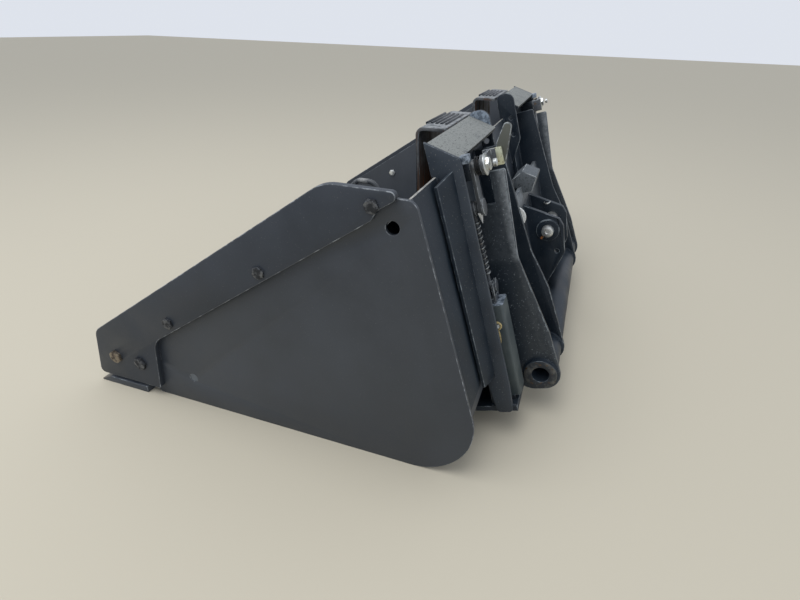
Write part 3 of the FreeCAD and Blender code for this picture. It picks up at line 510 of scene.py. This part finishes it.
head_high, nut_high, face_high = 0.39, 0.47, 0.03
heads = {flats: hexagon_nut(flats, head_high * flats) for flats in (24.0, 19.0)}
nuts = {flats: hexagon_nut(flats, nut_high * flats) for flats in (24.0, 19.0)}
for side, sign in SIDES:
    outward = ACROSS * sign
    fixings, inside = [], []
    for number, (y, z, flats, turn) in enumerate(bolts):
        head_at, nut_at = from_tip(sign * cutter_face, y, z), from_tip(sign * side_in, y, z)
        face = turned(head_at, outward, [(0.48 * flats, 0), (0.48 * flats, face_high * flats),
                                         (0.46 * flats, 0.035 * flats)])
        head = copy_to(heads[flats], head_at + outward * face_high * flats * MM, outward, turn)
        nut = copy_to(nuts[flats], nut_at, -outward, 2.3 * turn)
        tip = threaded_end(nut_at - outward * nut_high * flats * MM, -outward, 0.31 * flats, 0.6)
        if number == 0:
            scoured = join_as("lowest_bolt_" + side, [face, head], ROOT, "bolt_zinc", scoured_bolt)
            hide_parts("cutter_bolts_" + side)
        else:
            fixings += [face, head]
        inside += [nut, tip]
    fixing = join_as("cutter_bolts_" + side + "_shown", fixings, ROOT, "bolt_zinc", bolt_zinc)
    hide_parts("cutter_bolts_" + side)
    nutting = join_as("cutter_nuts_" + side, inside, ROOT, "bolt_zinc", nut_zinc)
    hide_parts("cutter_bolts_" + side)
for pattern in list(heads.values()) + list(nuts.values()):
    bpy.data.objects.remove(pattern)

# Mounting brackets behind the wall: on each side an outer and a short inner plate, an angled
# cap between them that the coupler hooks under, a slanted strip, and a slotted shelf below.
# Same sprayer, another day: a darker, bluer charcoal, speckled with fine pale grit.
coupler_enamel = enamel("blue_black_enamel", "#141d26", "#1a242e", "#6b747c", dust_share=0.18,
                        rough=0.42, cloud_mm=60.0, speck_share=0.30, gloss=0.30)
coupler_edge = rubbed("rubbed_blue_black_edge", "#333b42", "#7f888e", rough=0.42, patch_mm=20.0,
                      share=0.45)


def sprayed(name, round_m):
    """Plate or block of the brackets or the coupler, sprayed blue-black all over."""
    return dress(name, ROOT, coupler_enamel, coupler_edge, round_m)


def dusty_coat(name, dust, paint, grit, rough):
    """Enamel under a layer of site dust: paint shows through in scuffs 36 mm apart, and dark
    grit of 3 mm lies in it."""
    material, tree, place = new_material(name)
    layer = add(tree, "TexNoise", {"Scale": 1000 / 35.71, "Detail": 8.0, "Roughness": 0.68},
                Vector=place)
    thin = add(tree, "MapRange", {"From Min": 0.56, "From Max": 0.72, "To Max": 0.75}, Value=layer)
    colour = add(tree, "Mix", {"data_type": "RGBA", 6: linear(dust), 7: linear(paint)}, in_0=thin)
    grain = add(tree, "TexNoise", {"Scale": 1000 / 3.03, "Detail": 3.0, "Roughness": 0.6}, Vector=place)
    dark = add(tree, "MapRange", {"From Min": 0.56, "From Max": 0.63, "To Max": 0.75}, Value=grain)
    gritty = add(tree, "Mix", {"data_type": "RGBA", 7: linear(grit)}, in_0=dark, in_6=colour.outputs[2])
    bump = add(tree, "Bump", {"Strength": 0.35, "Distance": 0.0008}, Height=grain)
    shader = add(tree, "BsdfPrincipled", {"Roughness": rough, "IOR": 1.5}, Base_Color=gritty.outputs[2],
                 Normal=bump)
    add(tree, "OutputMaterial", {}, Surface=shader)
    return material


# Dust that rain has left on the caps: pale grey, peppered with dark grit of 1 to 3 mm.
cap_dust = dusty_coat("dusty_enamel", "#7f827f", "#52565a", "#2b2e31", rough=0.78)
# The same dust, thinner: on the sides and rear faces of the brackets' outer plates.
thin_dust = enamel("thinly_dusted_enamel", "#1f2730", "#28313b", "#737b83", dust_share=0.36, rough=0.46,
                   cloud_mm=50.0, speck_share=0.40, gloss=0.45)
# The inner plates' rounded tops were scuffed by the coupler and show pale blue-grey primer.
scuffed_top = rubbed("scuffed_primer", "#4b5662", "#7f8b98", rough=0.4, patch_mm=9.0, share=0.6)
# The wall's rear face above the heel takes the brackets' blue-black enamel: partly their paint, partly
# painted shade for the shade between and under the brackets.
recoat(shell, coupler_enamel,
       lambda at, out: out.dot(WALL_OUT) > 0.85 and abs(out_of_wall(at)) < 1 and up_wall(at) > 100)
bracket_in, bracket_out, plate_t, bracket_depth = 146.0, 436.5, 8.0, 40.0
inner_foot, outer_foot, bead_top = 372.0, 160.0, 480.0
shelf_in, shelf_out, shelf_s = 354.0, 42.0, 62.0
ridge_s = 533.0
cap_slope = math.radians(35.2)
cap_normal = WALL_OUT * math.sin(cap_slope) + WALL_UP * math.cos(cap_slope)
for side, sign in SIDES:
    outer = sprayed("bracket_outer_" + side, 0.0010)
    recoat(outer, thin_dust, lambda at, out: abs(out.x) > 0.8 or out.dot(WALL_OUT) > 0.8)
    inner = sprayed("bracket_inner_" + side, 0.0010)
    open_up(inner)
    bpy.ops.mesh.bisect(plane_co=on_wall(0, -plate_t, ridge_s), plane_no=cap_normal)
    close_up()
    recoat(inner, scuffed_top, lambda at, out: (at - on_wall(0, -plate_t, ridge_s)).dot(cap_normal) > 0
           and out.x * sign > 0.9)
    cap = dress("bracket_cap_" + side, ROOT, coupler_enamel, coupler_edge, round_m=0.0008)
    recoat(cap, cap_dust, lambda at, out: out.z > 0.3)
    sprayed("bracket_gusset_" + side, 0.0008)
    sprayed("bracket_shelf_" + side, 0.0008)
    out_x, in_x = sign * (bracket_out - plate_t), sign * bracket_in
    welds("bracket_welds_" + side, [
        bead(on_wall(in_x, 0, inner_foot), on_wall(in_x, 0, bead_top), 3.5),
        bead(on_wall(out_x, 12, shelf_s), on_wall(out_x, shelf_out, shelf_s), 3.0),
        bead(on_wall(sign * bracket_out, 0, outer_foot), on_wall(sign * bracket_out, 0, bead_top), 3.5),
        bead(on_wall(sign * shelf_in, 1, shelf_s), on_wall(out_x, 1, shelf_s), 3.0)],
        coupler_enamel)

# Corner lugs: short ends of square bar, welded in the corner between each cap's rear edge and
# the outer plate. Their paint is rubbed to a pale blue-grey in patches.
lug_paint = rubbed("rubbed_lug_enamel", "#46505a", "#8f9aa6", rough=0.4, patch_mm=9.0, share=0.6)
lug_x, lug_proud, lug_s = 420.4, 3.0, 495.0


def ground_block(across, out, up, chamfer):
    """Block in mm at the origin, cut from bar, with its corners ground off."""
    deselect()
    bpy.ops.mesh.primitive_cube_add(size=1.0)
    piece = bpy.context.object
    piece.scale = (across * MM, out * MM, up * MM)
    bpy.ops.object.transform_apply(location=False, rotation=False, scale=True)
    open_up(piece)
    bpy.ops.mesh.bevel(offset=chamfer * MM, segments=2)
    close_up()
    return piece


def leaning(x, t, s):
    """Placement of a piece modelled at the origin: at a place on the wall, leaning as it does."""
    return Matrix.Translation(on_wall(x, t, s)) @ Matrix.Rotation(LEAN, 4, "X")


for side, sign in SIDES:
    lug = ground_block(16.5, 14, 12, 1.2)
    lug.matrix_world = leaning(sign * lug_x, bracket_depth + lug_proud, lug_s)
    join_as("corner_lug_" + side, [lug], ROOT, "body_paint", lug_paint)

# Steps: bent 6 mm plates from the caps forward and down to the stiffener, with five raised
# ribs on top for grip. Water runs off them behind, and has drawn rust down the legs.
step_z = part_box("step_left")[1].z


def rust_run(name, paint, worn, brown, orange):
    """Enamel with rust drawn down it in streaks about 12 mm apart, more and redder lower down."""
    material, tree, place = new_material(name)
    drawn = add(tree, "Mapping", {"Scale": (1000 / 11.76, 1000 / 25, 1000 / 200)}, Vector=place)
    streak = add(tree, "TexNoise", {"Scale": 1.0, "Detail": 5.0, "Roughness": 0.6}, Vector=drawn)
    split = add(tree, "SeparateXYZ", {}, Vector=place)
    fall = add(tree, "MapRange", {"From Min": step_z, "From Max": step_z - 0.12, "To Max": 0.22},
               Value=split.outputs["Z"])
    depth = add(tree, "Math", {"operation": "ADD"}, in_0=streak, in_1=fall)
    run = add(tree, "MapRange", {"From Min": 0.54, "From Max": 0.70}, Value=depth)
    hot = add(tree, "MapRange", {"From Min": 0.74, "From Max": 0.86}, Value=depth)
    wear = add(tree, "TexNoise", {"Scale": 1000 / 33.33, "Detail": 6.0, "Roughness": 0.7}, Vector=place)
    scuff = add(tree, "MapRange", {"From Min": 0.42, "From Max": 0.66}, Value=wear)
    coat = add(tree, "Mix", {"data_type": "RGBA", 6: linear(paint), 7: linear(worn)}, in_0=scuff)
    rusty = add(tree, "Mix", {"data_type": "RGBA", 7: linear(brown)}, in_0=run, in_6=coat.outputs[2])
    colour = add(tree, "Mix", {"data_type": "RGBA", 7: linear(orange)}, in_0=hot, in_6=rusty.outputs[2])
    dull = add(tree, "MapRange", {"To Min": 0.45, "To Max": 0.85}, Value=run)
    bump = add(tree, "Bump", {"Strength": 0.2, "Distance": 0.0006}, Height=wear)
    shader = add(tree, "BsdfPrincipled", {"IOR": 1.5}, Base_Color=colour.outputs[2], Roughness=dull,
                 Normal=bump)
    add(tree, "OutputMaterial", {}, Surface=shader)
    return material


# Charcoal enamel on the step's leg: scuffed grey, brown runs down it and orange at the foot.
step_rust = rust_run("rust_run_enamel", "#35393d", "#606366", "#4b3322", "#98582b")
# Trodden top between the ribs: the paint is polished off in ragged patches.
step_tread = rubbed("trodden_enamel", "#474b4f", "#85888a", rough=0.5, patch_mm=12.0, share=0.7)
# The ribs are coloured a near-black blue all over: painted shade for the shade along their sides,
# between pale strips of trodden plate.
rib_painted_shade = enamel("rib_painted_shade", "#0f151d", "#171e27", "#6f757b", dust_share=0.05, rough=0.36,
                    cloud_mm=30.0, speck_share=0.1, gloss=0.3)
for side, sign in SIDES:
    step = dress("step_" + side, ROOT, step_rust, coupler_edge, round_m=0.0007)
    recoat(step, step_tread, lambda at, out: at.z > step_z - 0.0035 and out.z > 0.1)
    recoat(step, rib_painted_shade, lambda at, out: at.z > step_z - 0.0023)

# Coupler: on each side a face plate under the cap, and an outer and an inner web that sweep
# down to a bored boss; a tube and a panel join the sides. All of it is cut and bent from plate
# and welded together.
web_out, web_in, web_t, face_t = 338.0, 238.0, 8.0, 10.0
web_foot, web_out_top, web_in_top = 96.0, 400.0, 476.0
pivot_t, pivot_s, boss_r = 76.4, 68.0, 30.0
panel_t, panel_low, panel_high = 46.0, 122.0, 348.0


def settled_dust(name, paint, dust, from_t, to_t, from_s, share):
    """Enamel with fine dust settled towards a web's rear edge, from from_t to to_t out of the wall
    and from from_s mm up it, and thin everywhere else."""
    material, tree, place = new_material(name)
    centred = add(tree, "VectorMath", {"operation": "SUBTRACT", 1: WALL_FOOT}, in_0=place)
    out = add(tree, "VectorMath", {"operation": "DOT_PRODUCT", 1: WALL_OUT}, in_0=centred)
    high = add(tree, "VectorMath", {"operation": "DOT_PRODUCT", 1: WALL_UP}, in_0=centred)
    rearward = add(tree, "MapRange", {"From Min": from_t * MM, "From Max": to_t * MM, "To Min": 0.12},
                   Value=out.outputs["Value"])
    upward = add(tree, "MapRange", {"From Min": (from_s - 8) * MM, "From Max": (from_s + 6) * MM,
                 "To Min": 0.10}, Value=high.outputs["Value"])
    cloud = add(tree, "TexNoise", {"Scale": 1000 / 10.53, "Detail": 6.0, "Roughness": 0.7}, Vector=place)
    lying = add(tree, "MapRange", {"From Min": 0.30, "From Max": 0.60, "To Min": 0.2}, Value=cloud)
    area = add(tree, "Math", {"operation": "MULTIPLY"}, in_0=rearward, in_1=upward)
    film = add(tree, "Math", {"operation": "MULTIPLY"}, in_0=area, in_1=lying)
    thin = add(tree, "MapRange", {"To Max": share}, Value=film)
    coat = add(tree, "Mix", {"data_type": "RGBA", 6: linear(paint), 7: linear(dust)}, in_0=thin)
    grit = add(tree, "TexNoise", {"Scale": 1000 / 2.778, "Detail": 3.0}, Vector=place)
    speck = add(tree, "MapRange", {"From Min": 0.63, "From Max": 0.72, "To Max": 0.55}, Value=grit)
    colour = add(tree, "Mix", {"data_type": "RGBA", 7: linear("#8f979d")}, in_0=speck,
                 in_6=coat.outputs[2])
    dull = add(tree, "MapRange", {"To Min": 0.42, "To Max": 0.75}, Value=film)
    bump = add(tree, "Bump", {"Strength": 0.12, "Distance": 0.0006}, Height=grit)
    shader = add(tree, "BsdfPrincipled", {"IOR": 1.5, "Specular IOR Level": 0.4},
                 Base_Color=colour.outputs[2], Roughness=dull, Normal=bump)
    add(tree, "OutputMaterial", {}, Surface=shader)
    return material


# The webs' sides: dust laid on from the waist up, most along the rear edge, and darker enamel below the
# waist.
web_coat = settled_dust("dusted_web_enamel", "#222a32", "#a0a6aa", from_t=62.0, to_t=79.0, from_s=300.0,
                        share=0.72)
tube_steel = weathered_plate("boss_face_steel", "#6d6e6c", "#2e3236", "#57432f", rough=0.45,
                             patch_mm=20.0, dirt_share=0.75)
for side, sign in SIDES:
    sprayed("coupler_face_" + side, 0.0008)
    dress("outer_web_" + side, ROOT, web_coat, coupler_edge, round_m=0.0010)
    sprayed("inner_web_" + side, 0.0010)
    boss = sprayed("pivot_boss_" + side, 0.0012)
    recoat(boss, tube_steel, lambda at, out: abs(out.x) > 0.9)
    joints = []
    for x, high in ((web_out, web_out_top), (web_out - web_t, web_out_top),
                    (web_in, web_in_top), (web_in - web_t, web_in_top)):
        joints.append(bead(on_wall(sign * x, face_t, web_foot), on_wall(sign * x, face_t, high), 3.5))
        joints.append(ring_bead(on_wall(sign * x, pivot_t, pivot_s), ACROSS, boss_r, 3.5, WALL_OUT,
                                FULL_TURN))
    panel_x = sign * (web_in - web_t)
    joints.append(bead(on_wall(panel_x, panel_t, panel_low), on_wall(panel_x, panel_t, panel_high), 3.5))
    welds("web_welds_" + side, joints, coupler_enamel)
sprayed("cross_tube", 0.0008)
panel_coat = settled_dust("dusted_panel_enamel", "#1b232b", "#a0a6aa", from_t=20.0, to_t=46.0,
                          from_s=322.0, share=0.55)
dress("cross_panel", ROOT, panel_coat, coupler_edge, round_m=0.0008)

# Stop block and tilt ears: a bent block that takes the knocks when the coupler is rolled right
# back, and two welded ears with collars that hold a cross pin. Dust lies on the block, and its
# corners are knocked back to pale metal.
bright_corner = rubbed("knocked_block_corner", "#555b60", "#a3a8aa", rough=0.42, patch_mm=14.0,
                       share=0.7)
thin_block_dust = dusty_coat("thin_block_dust", "#585e63", "#30363c", "#24282b", rough=0.7)
dress("stop_block", ROOT, thin_block_dust, bright_corner, round_m=0.0012)
sprayed("tilt_ears", 0.0010)
ear_in, ear_out, ear_low, ear_high = 41.5, 53.5, 130.0, 312.0
welds("ear_welds", [bead(on_wall(sign * x, panel_t, ear_low), on_wall(sign * x, panel_t, ear_high), 3.5)
                    for x in (ear_in, ear_out) for _, sign in SIDES], coupler_enamel)

# Tilt pin: a turned and zinc-plated pin through both ears, with a raised ring left on each end
# by the lathe. It is the cleanest piece on the coupler.
# Bright zinc plate: a clean, slightly green-white metal, greyer where it has been handled.
bright_zinc = weathered_plate("bright_zinc_plate", "#c9cccb", "#868a8a", "#8a7552", rough=0.30,
                              patch_mm=12.0, dirt_share=0.30)
pin_end, pin_t, pin_s = 66.1, 89.6, 249.6
dress("tilt_pin", ROOT, nut_zinc, bright_zinc, round_m=0.0014)
join_as("tilt_pin_faces",
        [turned(on_wall(sign * pin_end, pin_t, pin_s), ACROSS * sign,
                [(9.4, 0.0), (9.4, 0.9), (8.2, 1.3), (4.2, 1.3), (3.4, 0.6)], 40) for _, sign in SIDES],
        ROOT, "zinc", nut_zinc)

# Lock wire: soft iron wire that keeps the pin from turning. Its bent end stands out beside the
# pin, and has rusted orange.
wire_x, wire_t, wire_s = 61.1, 78.1, 239.1
lock_rust = scraped("rusted_lock_wire", "#7a6a55", "#4f3a28", "#a5612a", rough=0.5, rust_from=0.40)
deselect()
bpy.ops.mesh.primitive_cylinder_add(vertices=14, radius=2.4 * MM, depth=12.0 * MM, location=(0, 0, 0))
lock_end = bpy.context.object
open_up(lock_end)
bpy.ops.mesh.subdivide(number_cuts=2)
bpy.ops.mesh.bevel(offset=0.25 * MM, segments=1)
bpy.ops.transform.vertex_random(offset=0.12 * MM, seed=next(bead_seeds))
close_up()
lock_end.matrix_world = stood(on_wall(wire_x, wire_t, wire_s), WALL_OUT + WALL_UP)
join_as("lock_wire_end", [lock_end], ROOT, "zinc", lock_rust)

# Round plate: a 3 mm disc bolted on the left inner web, cut flat where it meets the panel. Its
# zinc is coloured near-white as a painted highlight.
disc_t, disc_s, disc_r, disc_thick, disc_flat = 59.0, 341.0, 21.0, 3.0, 46.5
face_at = on_wall(web_in - web_t, disc_t, disc_s)
disc = turned(face_at, -ACROSS,
              [(disc_r - 0.4, 0.0), (disc_r, 0.4), (disc_r, 2.6), (disc_r - 0.4, disc_thick)], 56)
open_up(disc)
bpy.ops.mesh.bisect(plane_co=on_wall(0, disc_flat, disc_s), plane_no=WALL_OUT, clear_inner=True,
                    use_fill=True)
close_up()
screw = hexagon_nut(13.0, 5.5)
screw.matrix_world = stood(face_at - ACROSS * disc_thick * MM, -ACROSS, 12)
join_as("round_plate", [disc, screw], ROOT, "zinc", highlight_painted_zinc)

# Pin clip: an open ring of 3 mm spring wire, bright zinc, hooked over the right ear's inner
# side. It was bent round a bar and pressed flat.
clip_t, clip_s = 85.0, 287.0
deselect()
bpy.ops.mesh.primitive_torus_add(major_radius=11.0 * MM, minor_radius=1.6 * MM, major_segments=40,
                                 minor_segments=10, location=(0, 0, 0))
clip = bpy.context.object
open_up(clip)
bpy.ops.transform.resize(value=(1.0, 0.62, 1.0), center_override=(0, 0, 0))
bpy.ops.mesh.bisect(plane_co=(-4.0 * MM, 0, 0), plane_no=(1, 0, 0), clear_inner=True, use_fill=True)
close_up()
clip.matrix_world = leaning(-ear_in + 3.5, clip_t, clip_s)
join_as("pin_clip", [clip], ROOT, "zinc", bright_zinc)

# Wedge guides: a housing on each face plate that a wedge slides in, with a grease nipple in
# its outer side and the grease of the last greasing left round it.
latch_x = 387.0
guide_half, guide_low, guide_top = 22.0, 74.0, 246.0
nipple_t, nipple_s = 34.0, 212.0
# Its paint has a dried film of grease and mud, a greener grey than the plates beside it.
guide_film = enamel("mud_filmed_enamel", "#343e42", "#424c4e", "#7d817b", dust_share=0.5, rough=0.5,
                    cloud_mm=35.0, speck_share=0.15)
old_grease = dusty_coat("ochre_grease", "#b8a675", "#8a7a50", "#5d5238", rough=0.35)
for side, sign in SIDES:
    guide = dress("wedge_guide_" + side, ROOT, guide_film, coupler_edge, round_m=0.0008)
    recoat(guide, lug_paint, lambda at, out: up_wall(at) > guide_top + 3.0)
    welds("guide_welds_" + side,
          [bead(on_wall(sign * x, face_t, guide_low), on_wall(sign * x, face_t, guide_top), 3.0)
           for x in (latch_x - guide_half, latch_x + guide_half)], coupler_enamel)
    nipple_at = on_wall(sign * (latch_x + guide_half), nipple_t, nipple_s)
    nipple = turned(nipple_at, ACROSS * sign, [(4.6, 0.0), (4.6, 2.6), (3.4, 2.8), (2.2, 3.4),
                                               (2.2, 5.0), (3.1, 5.8), (3.1, 6.6), (1.6, 8.0)], 24)
    join_as("grease_nipple_" + side, [nipple], ROOT, "zinc", bright_zinc)
    deselect()
    bpy.ops.mesh.primitive_torus_add(major_radius=6.4 * MM, minor_radius=1.9 * MM, major_segments=36,
                                     minor_segments=10, location=nipple_at,
                                     rotation=(ACROSS * sign).to_track_quat("Z", "Y").to_euler())
    blob = bpy.context.object
    deselect()
    bpy.ops.mesh.primitive_uv_sphere_add(segments=20, ring_count=12, radius=2.6 * MM,
                                         location=nipple_at - WALL_UP * 20 * MM)
    run_down = bpy.context.object
    run_down.scale = (0.5, 1.0, 5.5)
    run_down.rotation_euler = (LEAN, 0, 0)
    open_up(join_as("grease_left_" + side, [blob, run_down], ROOT, "", old_grease))
    bpy.ops.transform.vertex_random(offset=0.5 * MM, seed=next(bead_seeds))
    close_up()

# Wedges and links: each wedge bar hangs on a rod with an eye at each end, a spring wound on it
# and a pointed zinc tip beside the upper eye. The lever's crank pulls the rod up, and the wedge
# comes out of the bracket's shelf.
# Dark grey paint under a film of grease and dirt; bare steel shows where the parts rub.
greasy_paint = enamel("greasy_grey_enamel", "#2c3035", "#3e4349", "#6c7176", dust_share=0.35, rough=0.33,
                      cloud_mm=20.0, speck_share=0.25)
greasy_edge = rubbed("rubbed_greasy_edge", "#4d5154", "#9ba1a4", rough=0.35, patch_mm=10.0, share=0.6)
wedge_tip = scraped("slid_wedge_steel", "#9aa0a4", "#63696e", "#5c4c3c", rough=0.35, rust_from=0.62)
# Drawn spring wire under old oil: grey steel that catches the light, dark where dirt sits.
spring_wire = weathered_plate("oiled_spring_wire", "#8e9293", "#35383a", "#4a3a2c", rough=0.26,
                              patch_mm=9.0, dirt_share=0.45)
latch_t, spring_foot, tip_t, tip_s = 30.0, 301.2, 40.4, 396.0


def coil(start, axis, radius, wire, pitch, turns, closed=True):
    """Wound spring, in mm: round wire turned about its axis, with a closed turn at each end or none."""
    deselect()
    bpy.ops.mesh.primitive_circle_add(vertices=8, radius=wire * MM, location=(radius * MM, 0, 0),
                                      rotation=(math.pi / 2, 0, 0))
    piece = bpy.context.object
    bpy.ops.object.transform_apply(location=True, rotation=True, scale=True)
    winding = piece.modifiers.new("winding", "SCREW")
    winding.axis = "Z"
    winding.angle = 2 * math.pi * turns
    winding.screw_offset = pitch * turns * MM
    winding.steps = winding.render_steps = round(20 * turns)
    winding.use_merge_vertices = False
    bpy.ops.object.modifier_apply(modifier="winding")
    bpy.ops.object.mode_set(mode="EDIT")
    bpy.ops.mesh.select_all(action="DESELECT")
    bpy.ops.mesh.select_non_manifold()
    bpy.ops.mesh.edge_face_add()
    bpy.ops.mesh.select_all(action="SELECT")
    bpy.ops.mesh.normals_make_consistent(inside=False)
    close_up()
    piece.matrix_world = stood(start, axis)
    parts = [piece]
    for height in (0.0, pitch * turns) if closed else ():
        deselect()
        bpy.ops.mesh.primitive_torus_add(major_radius=radius * MM, minor_radius=wire * MM,
                                         major_segments=24, minor_segments=8,
                                         location=start + axis * height * MM,
                                         rotation=axis.to_track_quat("Z", "Y").to_euler())
        parts.append(bpy.context.object)
    return parts


for side, sign in SIDES:
    x = sign * latch_x
    bar = dress("wedge_" + side, "wedge_" + side, greasy_paint, greasy_edge,
                round_m=0.0008)
    recoat(bar, wedge_tip, lambda at, out: up_wall(at) < 62)
    dress("link_rod_" + side, "link_" + side, greasy_paint, greasy_edge, round_m=0.0005)
    spring = join_as("link_spring_" + side + "_wound",
                     coil(on_wall(x, latch_t, spring_foot), WALL_UP, radius=5.2, wire=1.25,
                          pitch=8.75, turns=10),
                     "link_" + side, "spring_black", spring_wire)
    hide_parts("link_spring_" + side)
    deselect()
    bpy.ops.mesh.primitive_cone_add(vertices=4, radius1=15 * MM, radius2=1.5 * MM, depth=20 * MM,
                                    rotation=(0, 0, math.pi / 4))
    tip = bpy.context.object
    bpy.ops.object.transform_apply(location=False, rotation=True, scale=True)
    open_up(tip)
    bpy.ops.transform.resize(value=(1.0, 0.22, 1.0), center_override=(0, 0, 0))
    bpy.ops.mesh.bevel(offset=0.6 * MM, segments=2)
    close_up()
    tip.matrix_world = leaning(x, tip_t, tip_s) @ Matrix.Rotation(math.pi, 4, "X")
    # The tip's near-white zinc is a painted highlight.
    join_as("link_tip_" + side, [tip], "link_" + side, "zinc", highlight_painted_zinc)

# Levers: a crank under the cap and a sleeve in one piece, which turn on a bolt through a welded
# block, with a wide washer and a nut. A spring round the sleeve holds the lever over. A bent
# strap ends in a flange, plated yellow where the paint has come off, with the left one's grip.
hub_s, plated_t = 476.0, 70.0
block_t, shank_t, spring_t, washer_t, nut_t, end_t = 25.0, 30.0, 48.1, 62.6, 65.6, 75.6
yellow_zinc = weathered_plate("yellow_zinc_plate", "#c9cbb2", "#7f8170", "#7d6a48", rough=0.36,
                              patch_mm=10.0, dirt_share=0.35)
grey_strap = weathered_plate("dull_strap_zinc", "#70747a", "#4b4f54", "#5d4c38", rough=0.42,
                             patch_mm=18.0, dirt_share=0.6)
olive_grip = enamel("olive_grip_paint", "#484a45", "#53554e", "#7d7d75", dust_share=0.28, rough=0.5,
                    cloud_mm=20.0, speck_share=0.12)
crank_paint = enamel("worn_grey_crank", "#393c3f", "#52565a", "#84888b", dust_share=0.5, rough=0.38,
                     cloud_mm=18.0, speck_share=0.35)
# The thicker spring round the sleeve is newer: black oxide with a dull edge of light.
black_wire = weathered_plate("black_oxide_wire", "#2a2d30", "#0e1012", "#2f2822", rough=0.28,
                             patch_mm=12.0, dirt_share=0.75)
dress("lever_grip", "lever_left", olive_grip, greasy_edge, round_m=0.0012)
for side, sign in SIDES:
    x = sign * latch_x
    dress("lever_" + side, "lever_" + side, crank_paint, greasy_edge, round_m=0.0008)
    strap = dress("lever_strap_" + side, "lever_" + side, grey_strap, greasy_edge,
                  round_m=0.0010)
    open_up(strap)
    bpy.ops.mesh.bisect(plane_co=on_wall(0, plated_t, hub_s), plane_no=WALL_OUT)
    close_up()
    recoat(strap, yellow_zinc,
           lambda at, out: out_of_wall(at) > plated_t or up_wall(at) < hub_s - 14
           or (out.dot(WALL_UP) > 0.5 and out_of_wall(at) > plated_t - 6))
    coils = join_as("pivot_coil_" + side + "_wound",
                    coil(on_wall(x, spring_t, hub_s), WALL_OUT, radius=13.1, wire=1.4, pitch=3.85,
                         turns=2.1, closed=False),
                    "lever_" + side, "spring_black", black_wire)
    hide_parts("pivot_coil_" + side)

    block = ground_block(24, 30, 26, 1.6)
    block.matrix_world = leaning(x, block_t, hub_s - 5)
    seat = join_as("pivot_block_" + side, [block], ROOT, "body_paint", coupler_enamel)
    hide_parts("pivot_bolt_" + side)

    shank = turned(on_wall(x, shank_t, hub_s), WALL_OUT, [(7.0, 0.0), (7.0, 33.0)], 32)
    washer = turned(on_wall(x, washer_t, hub_s), WALL_OUT,
                    [(16.0, 0.0), (16.6, 0.5), (16.6, 1.3), (16.0, 1.8), (11.5, 2.6), (9.0, 2.6)], 56)
    nut = hexagon_nut(19.0, 10.0)
    nut.matrix_world = stood(on_wall(x, nut_t, hub_s), WALL_OUT, 20)
    end = threaded_end(on_wall(x, end_t, hub_s), WALL_OUT, 6.0, 4.6)
    bolt = join_as("pivot_bolt_" + side + "_shown", [shank, washer, nut, end], ROOT, "zinc", bright_zinc)
    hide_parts("pivot_bolt_" + side)

# Studio: a plain pale floor under one large soft lamp, and an even pale sky as on a dull day.
# Together they light the part at a plain level.
deselect()
bpy.ops.mesh.primitive_plane_add(size=30.0)
floor = bpy.context.object
floor.name = "floor"
floor_coat, tree, _ = new_material("pale_floor")
matt = add(tree, "BsdfPrincipled", {"Roughness": 0.9, "Base Color": linear("#c3bcaa")})
add(tree, "OutputMaterial", {}, Surface=matt)
floor.data.materials.append(floor_coat)

sky = bpy.data.worlds.new("dull_sky")
bpy.context.scene.world = sky
sky.use_nodes = True
sky.node_tree.nodes["Background"].inputs[0].default_value = linear("#e9eef7")
sky.node_tree.nodes["Background"].inputs[1].default_value = 0.9

bpy.ops.object.light_add(type="AREA", location=(1.2, -0.6, 3.2))
lamp = bpy.context.object
lamp.name = "overhead_softbox"
lamp.data.shape = "DISK"
lamp.data.size = 3.0
lamp.data.energy = 60.0
lamp.rotation_euler = (Vector((0, 0, 0.2)) - lamp.location).to_track_quat("-Z", "Y").to_euler()

# Camera: low beside the bucket's left rear corner and close to it, with a short lens. Its place
# and aim were solved from the bucket's own corners.
right = Vector((-0.3386, 0.9405, 0.0277))
up = Vector((-0.4460, -0.1863, 0.8755))
back = right.cross(up)
aim = Matrix((right, up, back)).transposed().to_4x4()
bpy.ops.object.camera_add()
camera = bpy.context.object
camera.matrix_world = Matrix.Translation((1.1482, 0.3961, 0.6554)) @ aim
camera.data.sensor_width = 36.0
camera.data.lens = 22.66
camera.data.clip_start = 0.02
bpy.context.scene.camera = camera

bpy.context.scene.view_settings.view_transform = "Standard"
